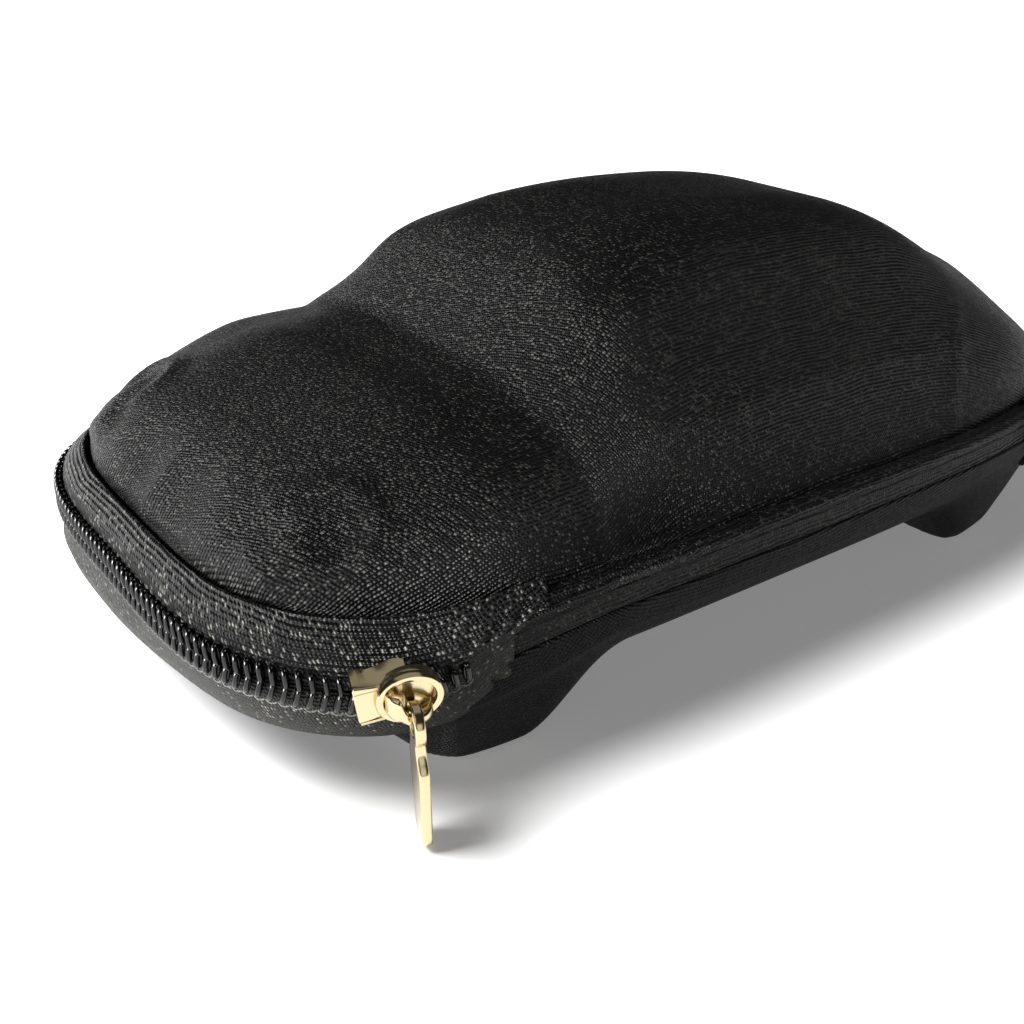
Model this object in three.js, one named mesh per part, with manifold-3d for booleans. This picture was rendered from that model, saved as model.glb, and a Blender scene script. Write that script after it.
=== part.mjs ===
// A hard-shell spectacle case in the shape of a small car, closed by a zip and covered in knitted cloth.
// Millimetres, +Z up. The car's nose points to -X. Its left side, at -Y, holds the cloth hinge, and the
// zip runs round the other three sides. X is counted from the widest point of the rim until the very end,
// where the finished case is set with the middle of its footprint on the origin.
import * as THREE from "three";
import { mergeVertices } from "three/addons/utils/BufferGeometryUtils.js";
import Module from "manifold-3d";

const wasm = await Module();
wasm.setup();

// Rim: the flange outline that both shells share
const rimNoseLength = 69.4;
const rimTailLength = 96.5;
const rimHalfWidth = 44.4;
const noseRoundness = 3.8;
const tailRoundness = 4.3;
const lidRimThickness = 1.5;
const trayRimThickness = 3;
const seamHeight = 20.3;
const seamGap = 3.2;
const noseSag = 1.8;
const noseSagStart = 25;
const noseSagRun = 30;
const sliderSag = 2.1;
const sliderSagReach = 14;
const sliderSagSide = 20;

// Lid
const wallThickness = 2.5;
const skirtWidth = 2.8;
const skirtRise = 3.9;
const roofRise = 32.4;
const endFullness = 8;
const roofCrownShare = 0.55;
const beltHeightShare = 0.42;
const beltWidthShare = 0.65;
const beltBulge = 1;

// Tray
const panHeight = 8;
const noseFlankFullness = 0.45;
const wheelFrontPlace = -38.5;
const wheelRearPlace = 65;
const wheelFlatLength = 8.5;
const wheelFlankLength = 11;
const wheelInnerSide = 17;
const wheelInnerRun = 10;
const wheelOverdraw = 2;

// Zip
const clearance = 0.3;
const tapeThickness = 0.7;
const tapeSkirtShare = 0.86;
const tapeEdgeShare = 0.3;
const coilThickness = 1.5;
const coilRowHeight = 2.3;
const coilRowGap = 0.3;
const zipStartPlace = -43;
const zipEndPlace = 66;
const zipStationMargin = 1;
const hingeMargin = 1.5;
const hingeThickness = 1.6;
const hingeInset = 0.7;

// Slider
const sliderPlace = -52;
const sliderTangentStep = 2;
const sliderClearance = 0.35;
const sliderLength = 10;
const sliderPlate = 1.3;
const sliderHeadRadius = 3.7;
const sliderTailHeight = 6.6;
const sliderFlangeDepth = 1.5;
const sliderFlangeLength = 6.5;
const sliderFlangeThickness = 0.9;
const sliderRimHeight = 0.5;
const sliderRimWidth = 0.8;
const bridgeLength = 6.8;
const bridgeWidth = 1.6;
const bridgeBar = 1.2;
const bridgeFootShare = 0.35;
const tunnelLength = 3.2;

// Pull
const pullLength = 16.2;
const pullWidth = 6;
const pullTipWidth = 4.6;
const pullTipLength = 2.6;
const pullTipCornerShare = 0.24;
const pullTipRoundShare = 0.6;
const pullNeckWidth = 3.2;
const pullNeckLength = 3.8;
const pullNeckBendShare = 0.7;
const pullThickness = 1.2;
const pullEyeRadius = 1.35;
const pullEyeWall = 1.15;
const pullFloorGap = 0.3;

// Mesh steps
const loopSteps = 44;
const arcSteps = 4;
const curveSegments = 6;
const fineSteps = 4000;
const meshJoint = 2e-3;

// Sections of the lid from the nose (-1) over the widest point (0) to the tail (1).
// top: height over the groove as a share of roofRise
// shoulder: half-width where the roof turns down, as a share of the body's half-width there
// drop: how far the shoulder lies under the top, as a share of the height there
const lidSections = [
  { place: -1.0, top: 0.31, shoulder: 0.72, drop: 0.35 },
  { place: -0.8, top: 0.36, shoulder: 0.84, drop: 0.34 },
  { place: -0.58, top: 0.465, shoulder: 0.81, drop: 0.27 },
  { place: -0.43, top: 0.5, shoulder: 0.75, drop: 0.23 },
  { place: -0.38, top: 0.525, shoulder: 0.72, drop: 0.21 },
  { place: -0.34, top: 0.6, shoulder: 0.7, drop: 0.19 },
  { place: -0.2, top: 0.845, shoulder: 0.64, drop: 0.16 },
  { place: 0.0, top: 0.98, shoulder: 0.585, drop: 0.14 },
  { place: 0.25, top: 0.99, shoulder: 0.56, drop: 0.08 },
  { place: 0.5, top: 0.915, shoulder: 0.61, drop: 0.1 },
  { place: 0.72, top: 0.67, shoulder: 0.66, drop: 0.2 },
  { place: 0.88, top: 0.56, shoulder: 0.62, drop: 0.28 },
  { place: 1.0, top: 0.38, shoulder: 0.73, drop: 0.35 },
];

// How round the lid's section is at the crown, the shoulder and the belt: the share of each leg that bends
const lidRounding = { crown: 0.5, shoulder: 0.4, belt: 0.5 };

// Low relief on the lid, the same on both sides: soft rises and dents.
// along and alongReach: shares of the rim's length to the nose or tail. side: share of the body's half-width
// up, upReach and rise: shares of roofRise
const lidReliefs = [
  { name: "front fender", along: -0.47, side: 0.86, up: 0.33, alongReach: 0.2, upReach: 0.22, rise: 0.034 },
  { name: "valley behind it", along: -0.2, side: 0.95, up: 0.04, alongReach: 0.13, upReach: 0.25, rise: -0.046 },
  { name: "window", along: 0.16, side: 0.7, up: 0.62, alongReach: 0.31, upReach: 0.19, rise: -0.022 },
  { name: "rear fender", along: 0.68, side: 0.95, up: 0.25, alongReach: 0.18, upReach: 0.28, rise: 0.04 },
  { name: "headlight", along: -0.84, side: 0.62, up: 0.2, alongReach: 0.09, upReach: 0.12, rise: 0.025 },
];

// Rows of the tray from the rim inwards. inset: distance from the rim as a share of rimHalfWidth
// rise: share of the way from the pan up to the rim, wheel: share of a wheel's depth
const trayRows = [
  { inset: 0.03, rise: 0.68, wheel: 0.08 },
  { inset: 0.065, rise: 0.46, wheel: 0.48 },
  { inset: 0.104, rise: 0.26, wheel: 0.86 },
  { inset: 0.15, rise: 0.09, wheel: 1 },
  { inset: 0.21, rise: 0.01, wheel: 1 },
  { inset: 0.3, rise: 0, wheel: 1 },
  { inset: 0.4, rise: 0, wheel: 0.86 },
  { inset: 0.52, rise: 0, wheel: 0.32 },
  { inset: 0.68, rise: 0, wheel: 0 },
];
const trayInnerRows = [1, 3, 5, 7, 8];
const trayMiddleShare = 0.8;
const lidInnerRows = [11, 9, 7, 5, 3, 0];

const bodyHalfWidth = rimHalfWidth - skirtWidth;
const grooveHeight = seamHeight + skirtRise;

const clamp = (value, low, high) => Math.min(high, Math.max(low, value));
const smooth = (value) => {
  const share = clamp(value, 0, 1);
  return share * share * (3 - 2 * share);
};

// Value of one column of a table at a place, on a smooth curve through the rows
function tableValue(rows, column, place) {
  const slope = (index) => {
    const before = rows[Math.max(index - 1, 0)];
    const after = rows[Math.min(index + 1, rows.length - 1)];
    return (after[column] - before[column]) / (after.place - before.place);
  };
  let index = 0;
  while (index < rows.length - 2 && rows[index + 1].place <= place) index += 1;
  const start = rows[index];
  const end = rows[index + 1];
  const span = end.place - start.place;
  const t = (place - start.place) / span;
  return (
    (2 * t ** 3 - 3 * t ** 2 + 1) * start[column] +
    (t ** 3 - 2 * t ** 2 + t) * span * slope(index) +
    (3 * t ** 2 - 2 * t ** 3) * end[column] +
    (t ** 3 - t ** 2) * span * slope(index + 1)
  );
}

// Plan outline: half-width share at a length share, 1 at the widest point and 0 at nose and tail
function planWidth(place) {
  const roundness = place < 0 ? noseRoundness : tailRoundness;
  return Math.max(0, 1 - Math.abs(place) ** roundness) ** (1 / roundness);
}

// Stations evenly spaced along one side of the rim, from the nose to the tail
function rimStations(count) {
  const fine = [];
  for (let step = 0; step <= fineSteps; step += 1) {
    const angle = (Math.PI * step) / fineSteps;
    const way = -Math.sign(Math.cos(angle));
    const power = 2 / (way < 0 ? noseRoundness : tailRoundness);
    fine.push({ place: way * Math.abs(Math.cos(angle)) ** power, width: Math.sin(angle) ** power, run: 0 });
  }
  fine[fineSteps].width = 0;
  for (let step = 1; step <= fineSteps; step += 1) {
    const from = rimPoint(fine[step - 1], 1, 0, 0);
    const to = rimPoint(fine[step], 1, 0, 0);
    fine[step].run = fine[step - 1].run + from.distanceTo(to);
  }
  const total = fine[fineSteps].run;
  const stations = [];
  let at = 0;
  for (let index = 0; index <= count; index += 1) {
    while (at < fineSteps && fine[at].run < (total * index) / count) at += 1;
    stations.push(fine[at]);
  }
  return stations;
}

// Point at a station of the rim, some way in from it, on the near side (-1) or the far side (1)
function rimPoint(station, side, inset, height) {
  const length = (station.place < 0 ? rimNoseLength : rimTailLength) - inset;
  return new THREE.Vector3(station.place * length, side * station.width * (rimHalfWidth - inset), height);
}

// How far a point is round the nose, 0 to 1
const noseShareAt = (point) => clamp((-point.x - noseSagStart) / noseSagRun, 0, 1);

// The seam hangs a little lower round the nose, and lower still by the slider
function seamAt(point) {
  const noseShare = noseShareAt(point);
  const sliderShare = Math.exp(-(((point.x - sliderPlace) / sliderSagReach) ** 2));
  return seamHeight - noseSag * noseShare - sliderSag * sliderShare * clamp(-point.y / sliderSagSide, 0, 1);
}

// All stations once round: nose, near side, tail, far side
function loopOf(stations) {
  const near = stations.slice(0, -1).map((station) => ({ station, side: -1 }));
  const far = stations.slice(1).reverse().map((station) => ({ station, side: 1 }));
  return [...near, ...far];
}

// Polygon with each inner corner replaced by a short curve
function roundedSection(corners, rounding) {
  const points = [corners[0]];
  for (let index = 1; index < corners.length - 1; index += 1) {
    const corner = corners[index];
    const start = corner.clone().lerp(corners[index - 1], rounding[index - 1]);
    const end = corner.clone().lerp(corners[index + 1], rounding[index - 1]);
    for (let step = 0; step < arcSteps; step += 1) {
      const t = step / (arcSteps - 1);
      points.push(start.clone().lerp(corner, t).lerp(corner.clone().lerp(end, t), t));
    }
  }
  points.push(corners[corners.length - 1]);
  return points;
}

// Half section of the lid at a station, from the roof's middle to the groove: x is sideways, y is up
function lidSection(station) {
  const half = bodyHalfWidth * station.width;
  const end = Math.sqrt(Math.max(0, 1 - Math.abs(station.place) ** endFullness));
  const rise = roofRise * tableValue(lidSections, "top", station.place) * end;
  const shoulder = tableValue(lidSections, "shoulder", station.place) * half;
  const drop = tableValue(lidSections, "drop", station.place);
  const belt = shoulder * (1 - beltWidthShare) + half * beltWidthShare + beltBulge * station.width;
  const corners = [
    new THREE.Vector2(0, grooveHeight + rise),
    new THREE.Vector2(shoulder * roofCrownShare, grooveHeight + rise),
    new THREE.Vector2(shoulder, grooveHeight + rise * (1 - drop)),
    new THREE.Vector2(belt, grooveHeight + rise * beltHeightShare),
    new THREE.Vector2(half, grooveHeight),
  ];
  return roundedSection(corners, [lidRounding.crown, lidRounding.shoulder, lidRounding.belt]);
}

// How far the relief lifts the lid's surface at a point
function reliefAt(point) {
  let lift = 0;
  for (const relief of lidReliefs) {
    const length = relief.along < 0 ? rimNoseLength : rimTailLength;
    const y = relief.side * bodyHalfWidth;
    const z = grooveHeight + relief.up * roofRise;
    const along = (point.x / length - relief.along) / relief.alongReach;
    const across = (Math.abs(point.y) - y) / (relief.upReach * roofRise);
    const up = (point.z - z) / (relief.upReach * roofRise);
    lift += relief.rise * roofRise * Math.exp(-(along ** 2 + across ** 2 + up ** 2));
  }
  return lift;
}

// Unit normals of a grid of rings, each ring a closed loop, pointing away from the middle of the case
function ringNormals(rings) {
  return rings.map((ring, row) =>
    ring.map((point, index) => {
      const next = ring[(index + 1) % ring.length];
      const last = ring[(index + ring.length - 1) % ring.length];
      const lower = rings[Math.min(row + 1, rings.length - 1)][index];
      const upper = rings[Math.max(row - 1, 0)][index];
      const down = lower.clone().sub(upper);
      const round = next.clone().sub(last);
      const normal = down.cross(round);
      return normal.lengthSq() > 1e-12 ? normal.normalize() : new THREE.Vector3();
    })
  );
}

// Outer surface of the lid from the roof's middle line down to the groove
function lidOuterRings(loop) {
  const columns = loop.map(({ station, side }) => {
    const x = station.place * ((station.place < 0 ? rimNoseLength : rimTailLength) - skirtWidth);
    return lidSection(station).map((spot) => new THREE.Vector3(x, side * spot.x, spot.y));
  });
  const rings = columns[0].map((_, row) => columns.map((column) => column[row]));
  const normals = ringNormals(rings);
  return rings.map((ring, row) =>
    ring.map((point, index) => {
      const fade = row === rings.length - 1 ? 0 : 1;
      return point.clone().addScaledVector(normals[row][index], fade * reliefAt(point));
    })
  );
}

// The same surface set inwards by the wall, on fewer rows
function offsetRings(rings, rows, thickness) {
  const normals = ringNormals(rings);
  return rows.map((row) =>
    rings[row].map((point, index) => point.clone().addScaledVector(normals[row][index], -thickness))
  );
}

// A ring brought onto the middle plane of the car, so that its two sides meet there
const foldedRing = (ring, lengthShare) =>
  ring.map((point) => new THREE.Vector3(point.x * lengthShare, 0, point.z));

// Closed solid through rings of equal count, each ring a closed loop. Its first and last rings fold flat.
function solidOfRings(rings, material, name) {
  const positions = rings.flat().flatMap((point) => [point.x, point.y, point.z]);
  const count = rings[0].length;
  const faces = [];
  for (let row = 0; row < rings.length - 1; row += 1) {
    for (let index = 0; index < count; index += 1) {
      const next = (index + 1) % count;
      const [a, b] = [row * count + index, row * count + next];
      const [c, d] = [a + count, b + count];
      faces.push(a, c, d, a, d, b);
    }
  }
  return meshOf(positions, faces, material, name);
}

// Mesh from positions and faces, with shared vertices joined and faces without area left out
function meshOf(positions, faces, material, name) {
  const raw = new THREE.BufferGeometry();
  raw.setAttribute("position", new THREE.Float32BufferAttribute(positions, 3));
  raw.setIndex(faces);
  const joined = mergeVertices(raw, meshJoint);
  const old = Array.from(joined.index.array);
  const kept = [];
  for (let index = 0; index < old.length; index += 3) {
    const [a, b, c] = old.slice(index, index + 3);
    if (a !== b && b !== c && c !== a) kept.push(a, b, c);
  }
  joined.setIndex(kept);
  joined.computeVertexNormals();
  const mesh = new THREE.Mesh(joined, material);
  mesh.name = name;
  return mesh;
}

// Bar through sections of equal count, each a closed outline made of an outer and an inner chain
function solidOfSections(sections, material, name) {
  const positions = sections.flat().flatMap((point) => [point.x, point.y, point.z]);
  const count = sections[0].length;
  const last = (sections.length - 1) * count;
  const faces = [];
  for (let row = 0; row < sections.length - 1; row += 1) {
    for (let index = 0; index < count; index += 1) {
      const next = (index + 1) % count;
      const [a, b] = [row * count + index, row * count + next];
      const [c, d] = [a + count, b + count];
      faces.push(a, c, d, a, d, b);
    }
  }
  for (let index = 0; index < count / 2 - 1; index += 1) {
    const [a, b] = [index, index + 1];
    const [c, d] = [count - 1 - index, count - 2 - index];
    faces.push(a, b, d, a, d, c);
    faces.push(last + a, last + d, last + b, last + a, last + c, last + d);
  }
  return meshOf(positions, faces, material, name);
}

const knittedCloth = new THREE.MeshStandardMaterial({ color: 0x17171a, roughness: 0.85, metalness: 0 });
const wovenTape = new THREE.MeshStandardMaterial({ color: 0x1b1b1d, roughness: 0.8, metalness: 0 });
const coilNylon = new THREE.MeshStandardMaterial({ color: 0x0c0c0d, roughness: 0.35, metalness: 0 });
const paleGoldMetal = new THREE.MeshStandardMaterial({ color: 0xd9c39a, roughness: 0.25, metalness: 1 });

const loop = loopOf(rimStations(loopSteps));

// Height of the upper (1) or lower (-1) side of the seam gap, and of the rim's outer face above or below it
const gapEdge = (point, way) => seamAt(point) + (way * seamGap) / 2;
const rimFace = (point, way) => gapEdge(point, way) + (way > 0 ? lidRimThickness : -trayRimThickness);
const rimRing = (inset, heightAt) =>
  loop.map(({ station, side }) => {
    const point = rimPoint(station, side, inset, 0);
    point.z = heightAt(rimPoint(station, side, 0, 0));
    return point;
  });

function makeLid() {
  const outer = lidOuterRings(loop);
  const inner = offsetRings(outer, lidInnerRows, wallThickness);
  const footInset = skirtWidth + wallThickness;
  const rings = [
    ...outer,
    rimRing(0, (point) => rimFace(point, 1)),
    rimRing(0, (point) => gapEdge(point, 1)),
    rimRing(footInset, (point) => gapEdge(point, 1)),
    rimRing(footInset, () => grooveHeight),
    ...inner.slice(0, -1),
    foldedRing(inner[inner.length - 1], 1),
  ];
  return solidOfRings(rings, knittedCloth, "upper_shell");
}

// How much of a wheel there is at a place along the case
function wheelShare(x) {
  const reach = (middle) => smooth((wheelFlatLength + wheelFlankLength - Math.abs(x - middle)) / wheelFlankLength);
  return Math.max(reach(wheelFrontPlace), reach(wheelRearPlace));
}

// Share of the way up from the pan to the rim: the flank is fuller, so lower, round the nose
const flankRise = (row, rim) => row.rise * (1 - noseFlankFullness * noseShareAt(rim));

function trayOuterRings() {
  return trayRows.map((row) =>
    loop.map(({ station, side }) => {
      const point = rimPoint(station, side, row.inset * rimHalfWidth, 0);
      const rim = rimPoint(station, side, 0, 0);
      const plain = panHeight + (rimFace(rim, -1) - panHeight) * flankRise(row, rim);
      const inWheel = smooth((Math.abs(point.y) - wheelInnerSide) / wheelInnerRun);
      const depth = (panHeight + wheelOverdraw) * row.wheel * wheelShare(point.x) * inWheel;
      point.z = Math.max(0, plain - depth);
      return point;
    })
  );
}

function makeTray() {
  const outer = trayOuterRings();
  const closedOuter = [...outer, foldedRing(outer[outer.length - 1], trayMiddleShare)];
  const inner = offsetRings(closedOuter, trayInnerRows, wallThickness);
  const closedInner = [...inner, foldedRing(inner[inner.length - 1], trayMiddleShare)];
  const rings = [
    ...closedInner.reverse(),
    rimRing(skirtWidth + wallThickness, (point) => gapEdge(point, -1)),
    rimRing(0, (point) => gapEdge(point, -1)),
    rimRing(0, (point) => rimFace(point, -1)),
    ...closedOuter,
  ];
  return solidOfRings(rings, knittedCloth, "lower_shell");
}

// Stations along the zip: from its end behind the rear wheel, round the tail, the far side and the nose
function zipStations() {
  const near = (x) => {
    const place = x / (x < 0 ? rimNoseLength : rimTailLength);
    return { station: { place, width: planWidth(place) }, side: -1 };
  };
  const xOf = ({ station, side }) => rimPoint(station, side, 0, 0).x;
  const onNear = loop.filter((spot) => spot.side === -1);
  const onFar = loop.filter((spot) => spot.side === 1);
  const tail = onNear.filter((spot) => xOf(spot) > zipEndPlace + zipStationMargin);
  const nose = onNear.filter((spot) => xOf(spot) < zipStartPlace - zipStationMargin);
  return [near(zipEndPlace), ...tail, ...onFar, ...nose, near(zipStartPlace)];
}

// Point set off from the rim: out is the distance outwards and height is a real height
const offsetPoint = ({ station, side }, out, height) => rimPoint(station, side, -out, height);

// One tape: behind its coil, over the rim's edge and along the skirt (1) or the tray's flank (-1)
function makeTape(way, name) {
  const trayInset = trayRows[0].inset * rimHalfWidth;
  const slopeFrom = (rim) =>
    way > 0
      ? new THREE.Vector2(-skirtWidth, grooveHeight - rimFace(rim, 1))
      : new THREE.Vector2(-trayInset, (panHeight - rimFace(rim, -1)) * (1 - flankRise(trayRows[0], rim)));
  const slope = slopeFrom(new THREE.Vector3());
  const outward = new THREE.Vector2(Math.abs(slope.y), way * Math.abs(slope.x)).normalize();
  const sections = zipStations().map((spot) => {
    const rim = rimPoint(spot.station, spot.side, 0, 0);
    const face = rimFace(rim, way);
    const reach = slopeFrom(rim).multiplyScalar(tapeSkirtShare);
    const chain = (gap) => [
      offsetPoint(spot, gap, seamAt(rim) + (way * coilRowGap) / 2),
      offsetPoint(spot, gap, face + outward.y * gap * tapeEdgeShare),
      offsetPoint(spot, reach.x + outward.x * gap, face + reach.y + outward.y * gap),
    ];
    const outer = chain(clearance + tapeThickness);
    const inner = chain(clearance);
    return way > 0 ? [...outer, ...inner.reverse()] : [...outer.reverse(), ...inner];
  });
  return solidOfSections(sections, wovenTape, name);
}

const coilInner = 2 * clearance + tapeThickness;
const coilOuter = coilInner + coilThickness;

// One row of the coil, a plain rib of its outer size
function makeCoil(way, name) {
  const sections = zipStations().map((spot) => {
    const seam = seamAt(rimPoint(spot.station, spot.side, 0, 0));
    const low = seam + (way > 0 ? coilRowGap / 2 : -coilRowGap / 2 - coilRowHeight);
    return [
      offsetPoint(spot, coilOuter, low),
      offsetPoint(spot, coilOuter, low + coilRowHeight),
      offsetPoint(spot, coilInner, low + coilRowHeight),
      offsetPoint(spot, coilInner, low),
    ];
  });
  return solidOfSections(sections, coilNylon, name);
}

// Cloth strip in the seam gap along the left side
function makeHinge() {
  const spots = loop.filter((spot) => {
    const { x } = rimPoint(spot.station, spot.side, 0, 0);
    return spot.side === -1 && x > zipStartPlace + hingeMargin && x < zipEndPlace - hingeMargin;
  });
  const sections = spots.map((spot) => {
    const rim = rimPoint(spot.station, spot.side, 0, 0);
    const low = gapEdge(rim, -1) + clearance;
    const high = gapEdge(rim, 1) - clearance;
    return [
      offsetPoint(spot, -hingeInset, low),
      offsetPoint(spot, -hingeInset, high),
      offsetPoint(spot, -hingeInset - hingeThickness, high),
      offsetPoint(spot, -hingeInset - hingeThickness, low),
    ];
  });
  return solidOfSections(sections, knittedCloth, "hinge_strip");
}

// Solid of a shape pushed straight up its own Z, for joining and cutting
function solidOfShape(shape, depth, offset) {
  const geometry = new THREE.ExtrudeGeometry(shape, { depth, bevelEnabled: false, curveSegments });
  geometry.translate(0, 0, offset);
  geometry.deleteAttribute("normal");
  geometry.deleteAttribute("uv");
  const joined = mergeVertices(geometry, meshJoint);
  const mesh = new wasm.Mesh({
    numProp: 3,
    vertProperties: joined.attributes.position.array,
    triVerts: new Uint32Array(joined.index.array),
  });
  mesh.merge();
  return new wasm.Manifold(mesh);
}

function meshOfSolid(solid, material, name) {
  const { vertProperties, triVerts } = solid.getMesh();
  return meshOf(Array.from(vertProperties), Array.from(triVerts), material, name);
}

// Plate of the slider: square at the tail end, round at the head, narrowed by an inset
function sliderOutline(inset) {
  const tail = -sliderLength / 2 + inset;
  const head = sliderLength / 2 - sliderHeadRadius;
  const radius = sliderHeadRadius - inset;
  const shape = new THREE.Shape();
  shape.moveTo(tail, sliderTailHeight / 2 - inset);
  shape.lineTo(tail, -sliderTailHeight / 2 + inset);
  shape.lineTo(head, -radius);
  shape.absarc(head, 0, radius, -Math.PI / 2, Math.PI / 2, false);
  shape.lineTo(tail, sliderTailHeight / 2 - inset);
  return shape;
}

function rectangle(x0, y0, x1, y1) {
  const shape = new THREE.Shape();
  shape.moveTo(x0, y0);
  shape.lineTo(x1, y0);
  shape.lineTo(x1, y1);
  shape.lineTo(x0, y1);
  shape.lineTo(x0, y0);
  return shape;
}

const eyeOuter = pullEyeRadius + pullEyeWall;
const bridgeHeight = eyeOuter + clearance;

// Slider in its own axes: X along the zip away from the nose, Y up the tape, Z out from the case.
// Its plate lies clear of the coil's outer face, its two flanges reach back past the coil's edges.
function makeSlider() {
  const plate = solidOfShape(sliderOutline(0), sliderPlate, sliderClearance);
  const face = sliderClearance + sliderPlate;
  const rim = solidOfShape(sliderOutline(0), sliderRimHeight, face)
    .subtract(solidOfShape(sliderOutline(sliderRimWidth), sliderRimHeight, face));
  const flangeFrom = coilRowGap / 2 + coilRowHeight + sliderClearance;
  let slider = plate.add(rim);
  for (const way of [-1, 1]) {
    const low = way > 0 ? flangeFrom : -flangeFrom - sliderFlangeThickness;
    const half = sliderFlangeLength / 2;
    const flange = rectangle(-half, low, half, low + sliderFlangeThickness);
    slider = slider.add(solidOfShape(flange, sliderFlangeDepth + sliderClearance + sliderPlate / 2, -sliderFlangeDepth));
  }
  const arch = new THREE.Shape();
  const [half, top] = [bridgeLength / 2, bridgeHeight + bridgeBar / 2];
  arch.moveTo(-half, -sliderPlate / 2);
  arch.lineTo(-half, top * bridgeFootShare);
  arch.bezierCurveTo(-half, top, -tunnelLength / 2, top, 0, top);
  arch.bezierCurveTo(tunnelLength / 2, top, half, top, half, top * bridgeFootShare);
  arch.lineTo(half, -sliderPlate / 2);
  const tunnel = rectangle(-tunnelLength / 2, 0, tunnelLength / 2, bridgeHeight - bridgeBar / 2);
  const bridge = solidOfShape(arch, bridgeWidth, -bridgeWidth / 2)
    .subtract(solidOfShape(tunnel, bridgeWidth * 2, -bridgeWidth))
    .rotate([90, 0, 0])
    .translate([0, 0, face]);
  return meshOfSolid(slider.add(bridge), paleGoldMetal, "zip_slider");
}

// Pull in its own axes: X outwards, Y from the eye to the tip, Z through its thickness
function makePull() {
  const shape = new THREE.Shape();
  const neck = pullNeckWidth / 2;
  const neckAngle = Math.acos(neck / eyeOuter);
  const neckEnd = Math.sqrt(eyeOuter ** 2 - neck ** 2);
  const [half, tip] = [pullWidth / 2, pullTipWidth / 2];
  const shoulder = neckEnd + pullNeckLength;
  const bend = shoulder * pullNeckBendShare;
  const tipStart = pullLength - pullTipLength;
  const tipCorner = pullLength - pullTipLength * pullTipCornerShare;
  const tipRound = tip * pullTipRoundShare;
  shape.moveTo(neck, neckEnd);
  shape.bezierCurveTo(neck, bend, half, bend, half, shoulder);
  shape.lineTo(tip, tipStart);
  shape.bezierCurveTo(tip, tipCorner, tipRound, pullLength, 0, pullLength);
  shape.bezierCurveTo(-tipRound, pullLength, -tip, tipCorner, -tip, tipStart);
  shape.lineTo(-half, shoulder);
  shape.bezierCurveTo(-half, bend, -neck, bend, -neck, neckEnd);
  shape.absarc(0, 0, eyeOuter, Math.PI - neckAngle, 2 * Math.PI + neckAngle, false);
  const eye = new THREE.Path();
  eye.absarc(0, 0, pullEyeRadius, 0, 2 * Math.PI, true);
  shape.holes.push(eye);
  return meshOfSolid(solidOfShape(shape, pullThickness, -pullThickness / 2), paleGoldMetal, "pull_tab");
}

// Slider's frame on the coil's outer face, and the pull hung in its bridge with its tip just off the floor
function placeSlider(slider, pull) {
  const spotAt = (x) => {
    const place = x / rimNoseLength;
    const spot = { station: { place, width: planWidth(place) }, side: -1 };
    return offsetPoint(spot, coilOuter, seamAt(rimPoint(spot.station, -1, 0, 0)));
  };
  const before = spotAt(sliderPlace - sliderTangentStep);
  const fromNose = spotAt(sliderPlace + sliderTangentStep).sub(before).normalize();
  const out = new THREE.Vector3().crossVectors(fromNose, new THREE.Vector3(0, 0, 1)).normalize();
  const up = new THREE.Vector3().crossVectors(out, fromNose);
  slider.quaternion.setFromRotationMatrix(new THREE.Matrix4().makeBasis(fromNose, up, out));
  slider.position.copy(spotAt(sliderPlace));
  const barOut = sliderClearance + sliderPlate + bridgeHeight;
  pull.position.copy(slider.position).addScaledVector(out, barOut);
  const lean = Math.acos(Math.min(1, (pull.position.z - pullFloorGap) / pullLength));
  const along = up.clone().multiplyScalar(-Math.cos(lean)).addScaledVector(out, Math.sin(lean));
  const across = new THREE.Vector3().crossVectors(along, fromNose);
  pull.quaternion.setFromRotationMatrix(new THREE.Matrix4().makeBasis(across, along, fromNose));
}

const car = new THREE.Group();
const slider = makeSlider();
const pull = makePull();
placeSlider(slider, pull);
car.add(makeLid(), makeTray());
car.add(makeTape(1, "zip_tape_upper"), makeTape(-1, "zip_tape_lower"));
car.add(makeCoil(1, "zip_coil_upper"), makeCoil(-1, "zip_coil_lower"));
car.add(makeHinge(), slider, pull);

// Set the case down with the middle of its footprint on the origin
const footprint = new THREE.Box3().setFromObject(car, true);
const centre = footprint.getCenter(new THREE.Vector3());
car.position.set(-centre.x, -centre.y, -footprint.min.z);

export default car;
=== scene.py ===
# %% [markdown]
# # A spectacle case shaped like a small car
# The real case is two hard shells of pressed foam with black knitted cloth on them. A coil zip closes
# them round the nose, the right side and the tail, and a cloth hinge joins them along the left side.
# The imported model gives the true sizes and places. Each cell below dresses one piece of it.

# %% Load the fixed model
import math
import bmesh
import bpy
import numpy as np
from mathutils import Matrix, Vector


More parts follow.
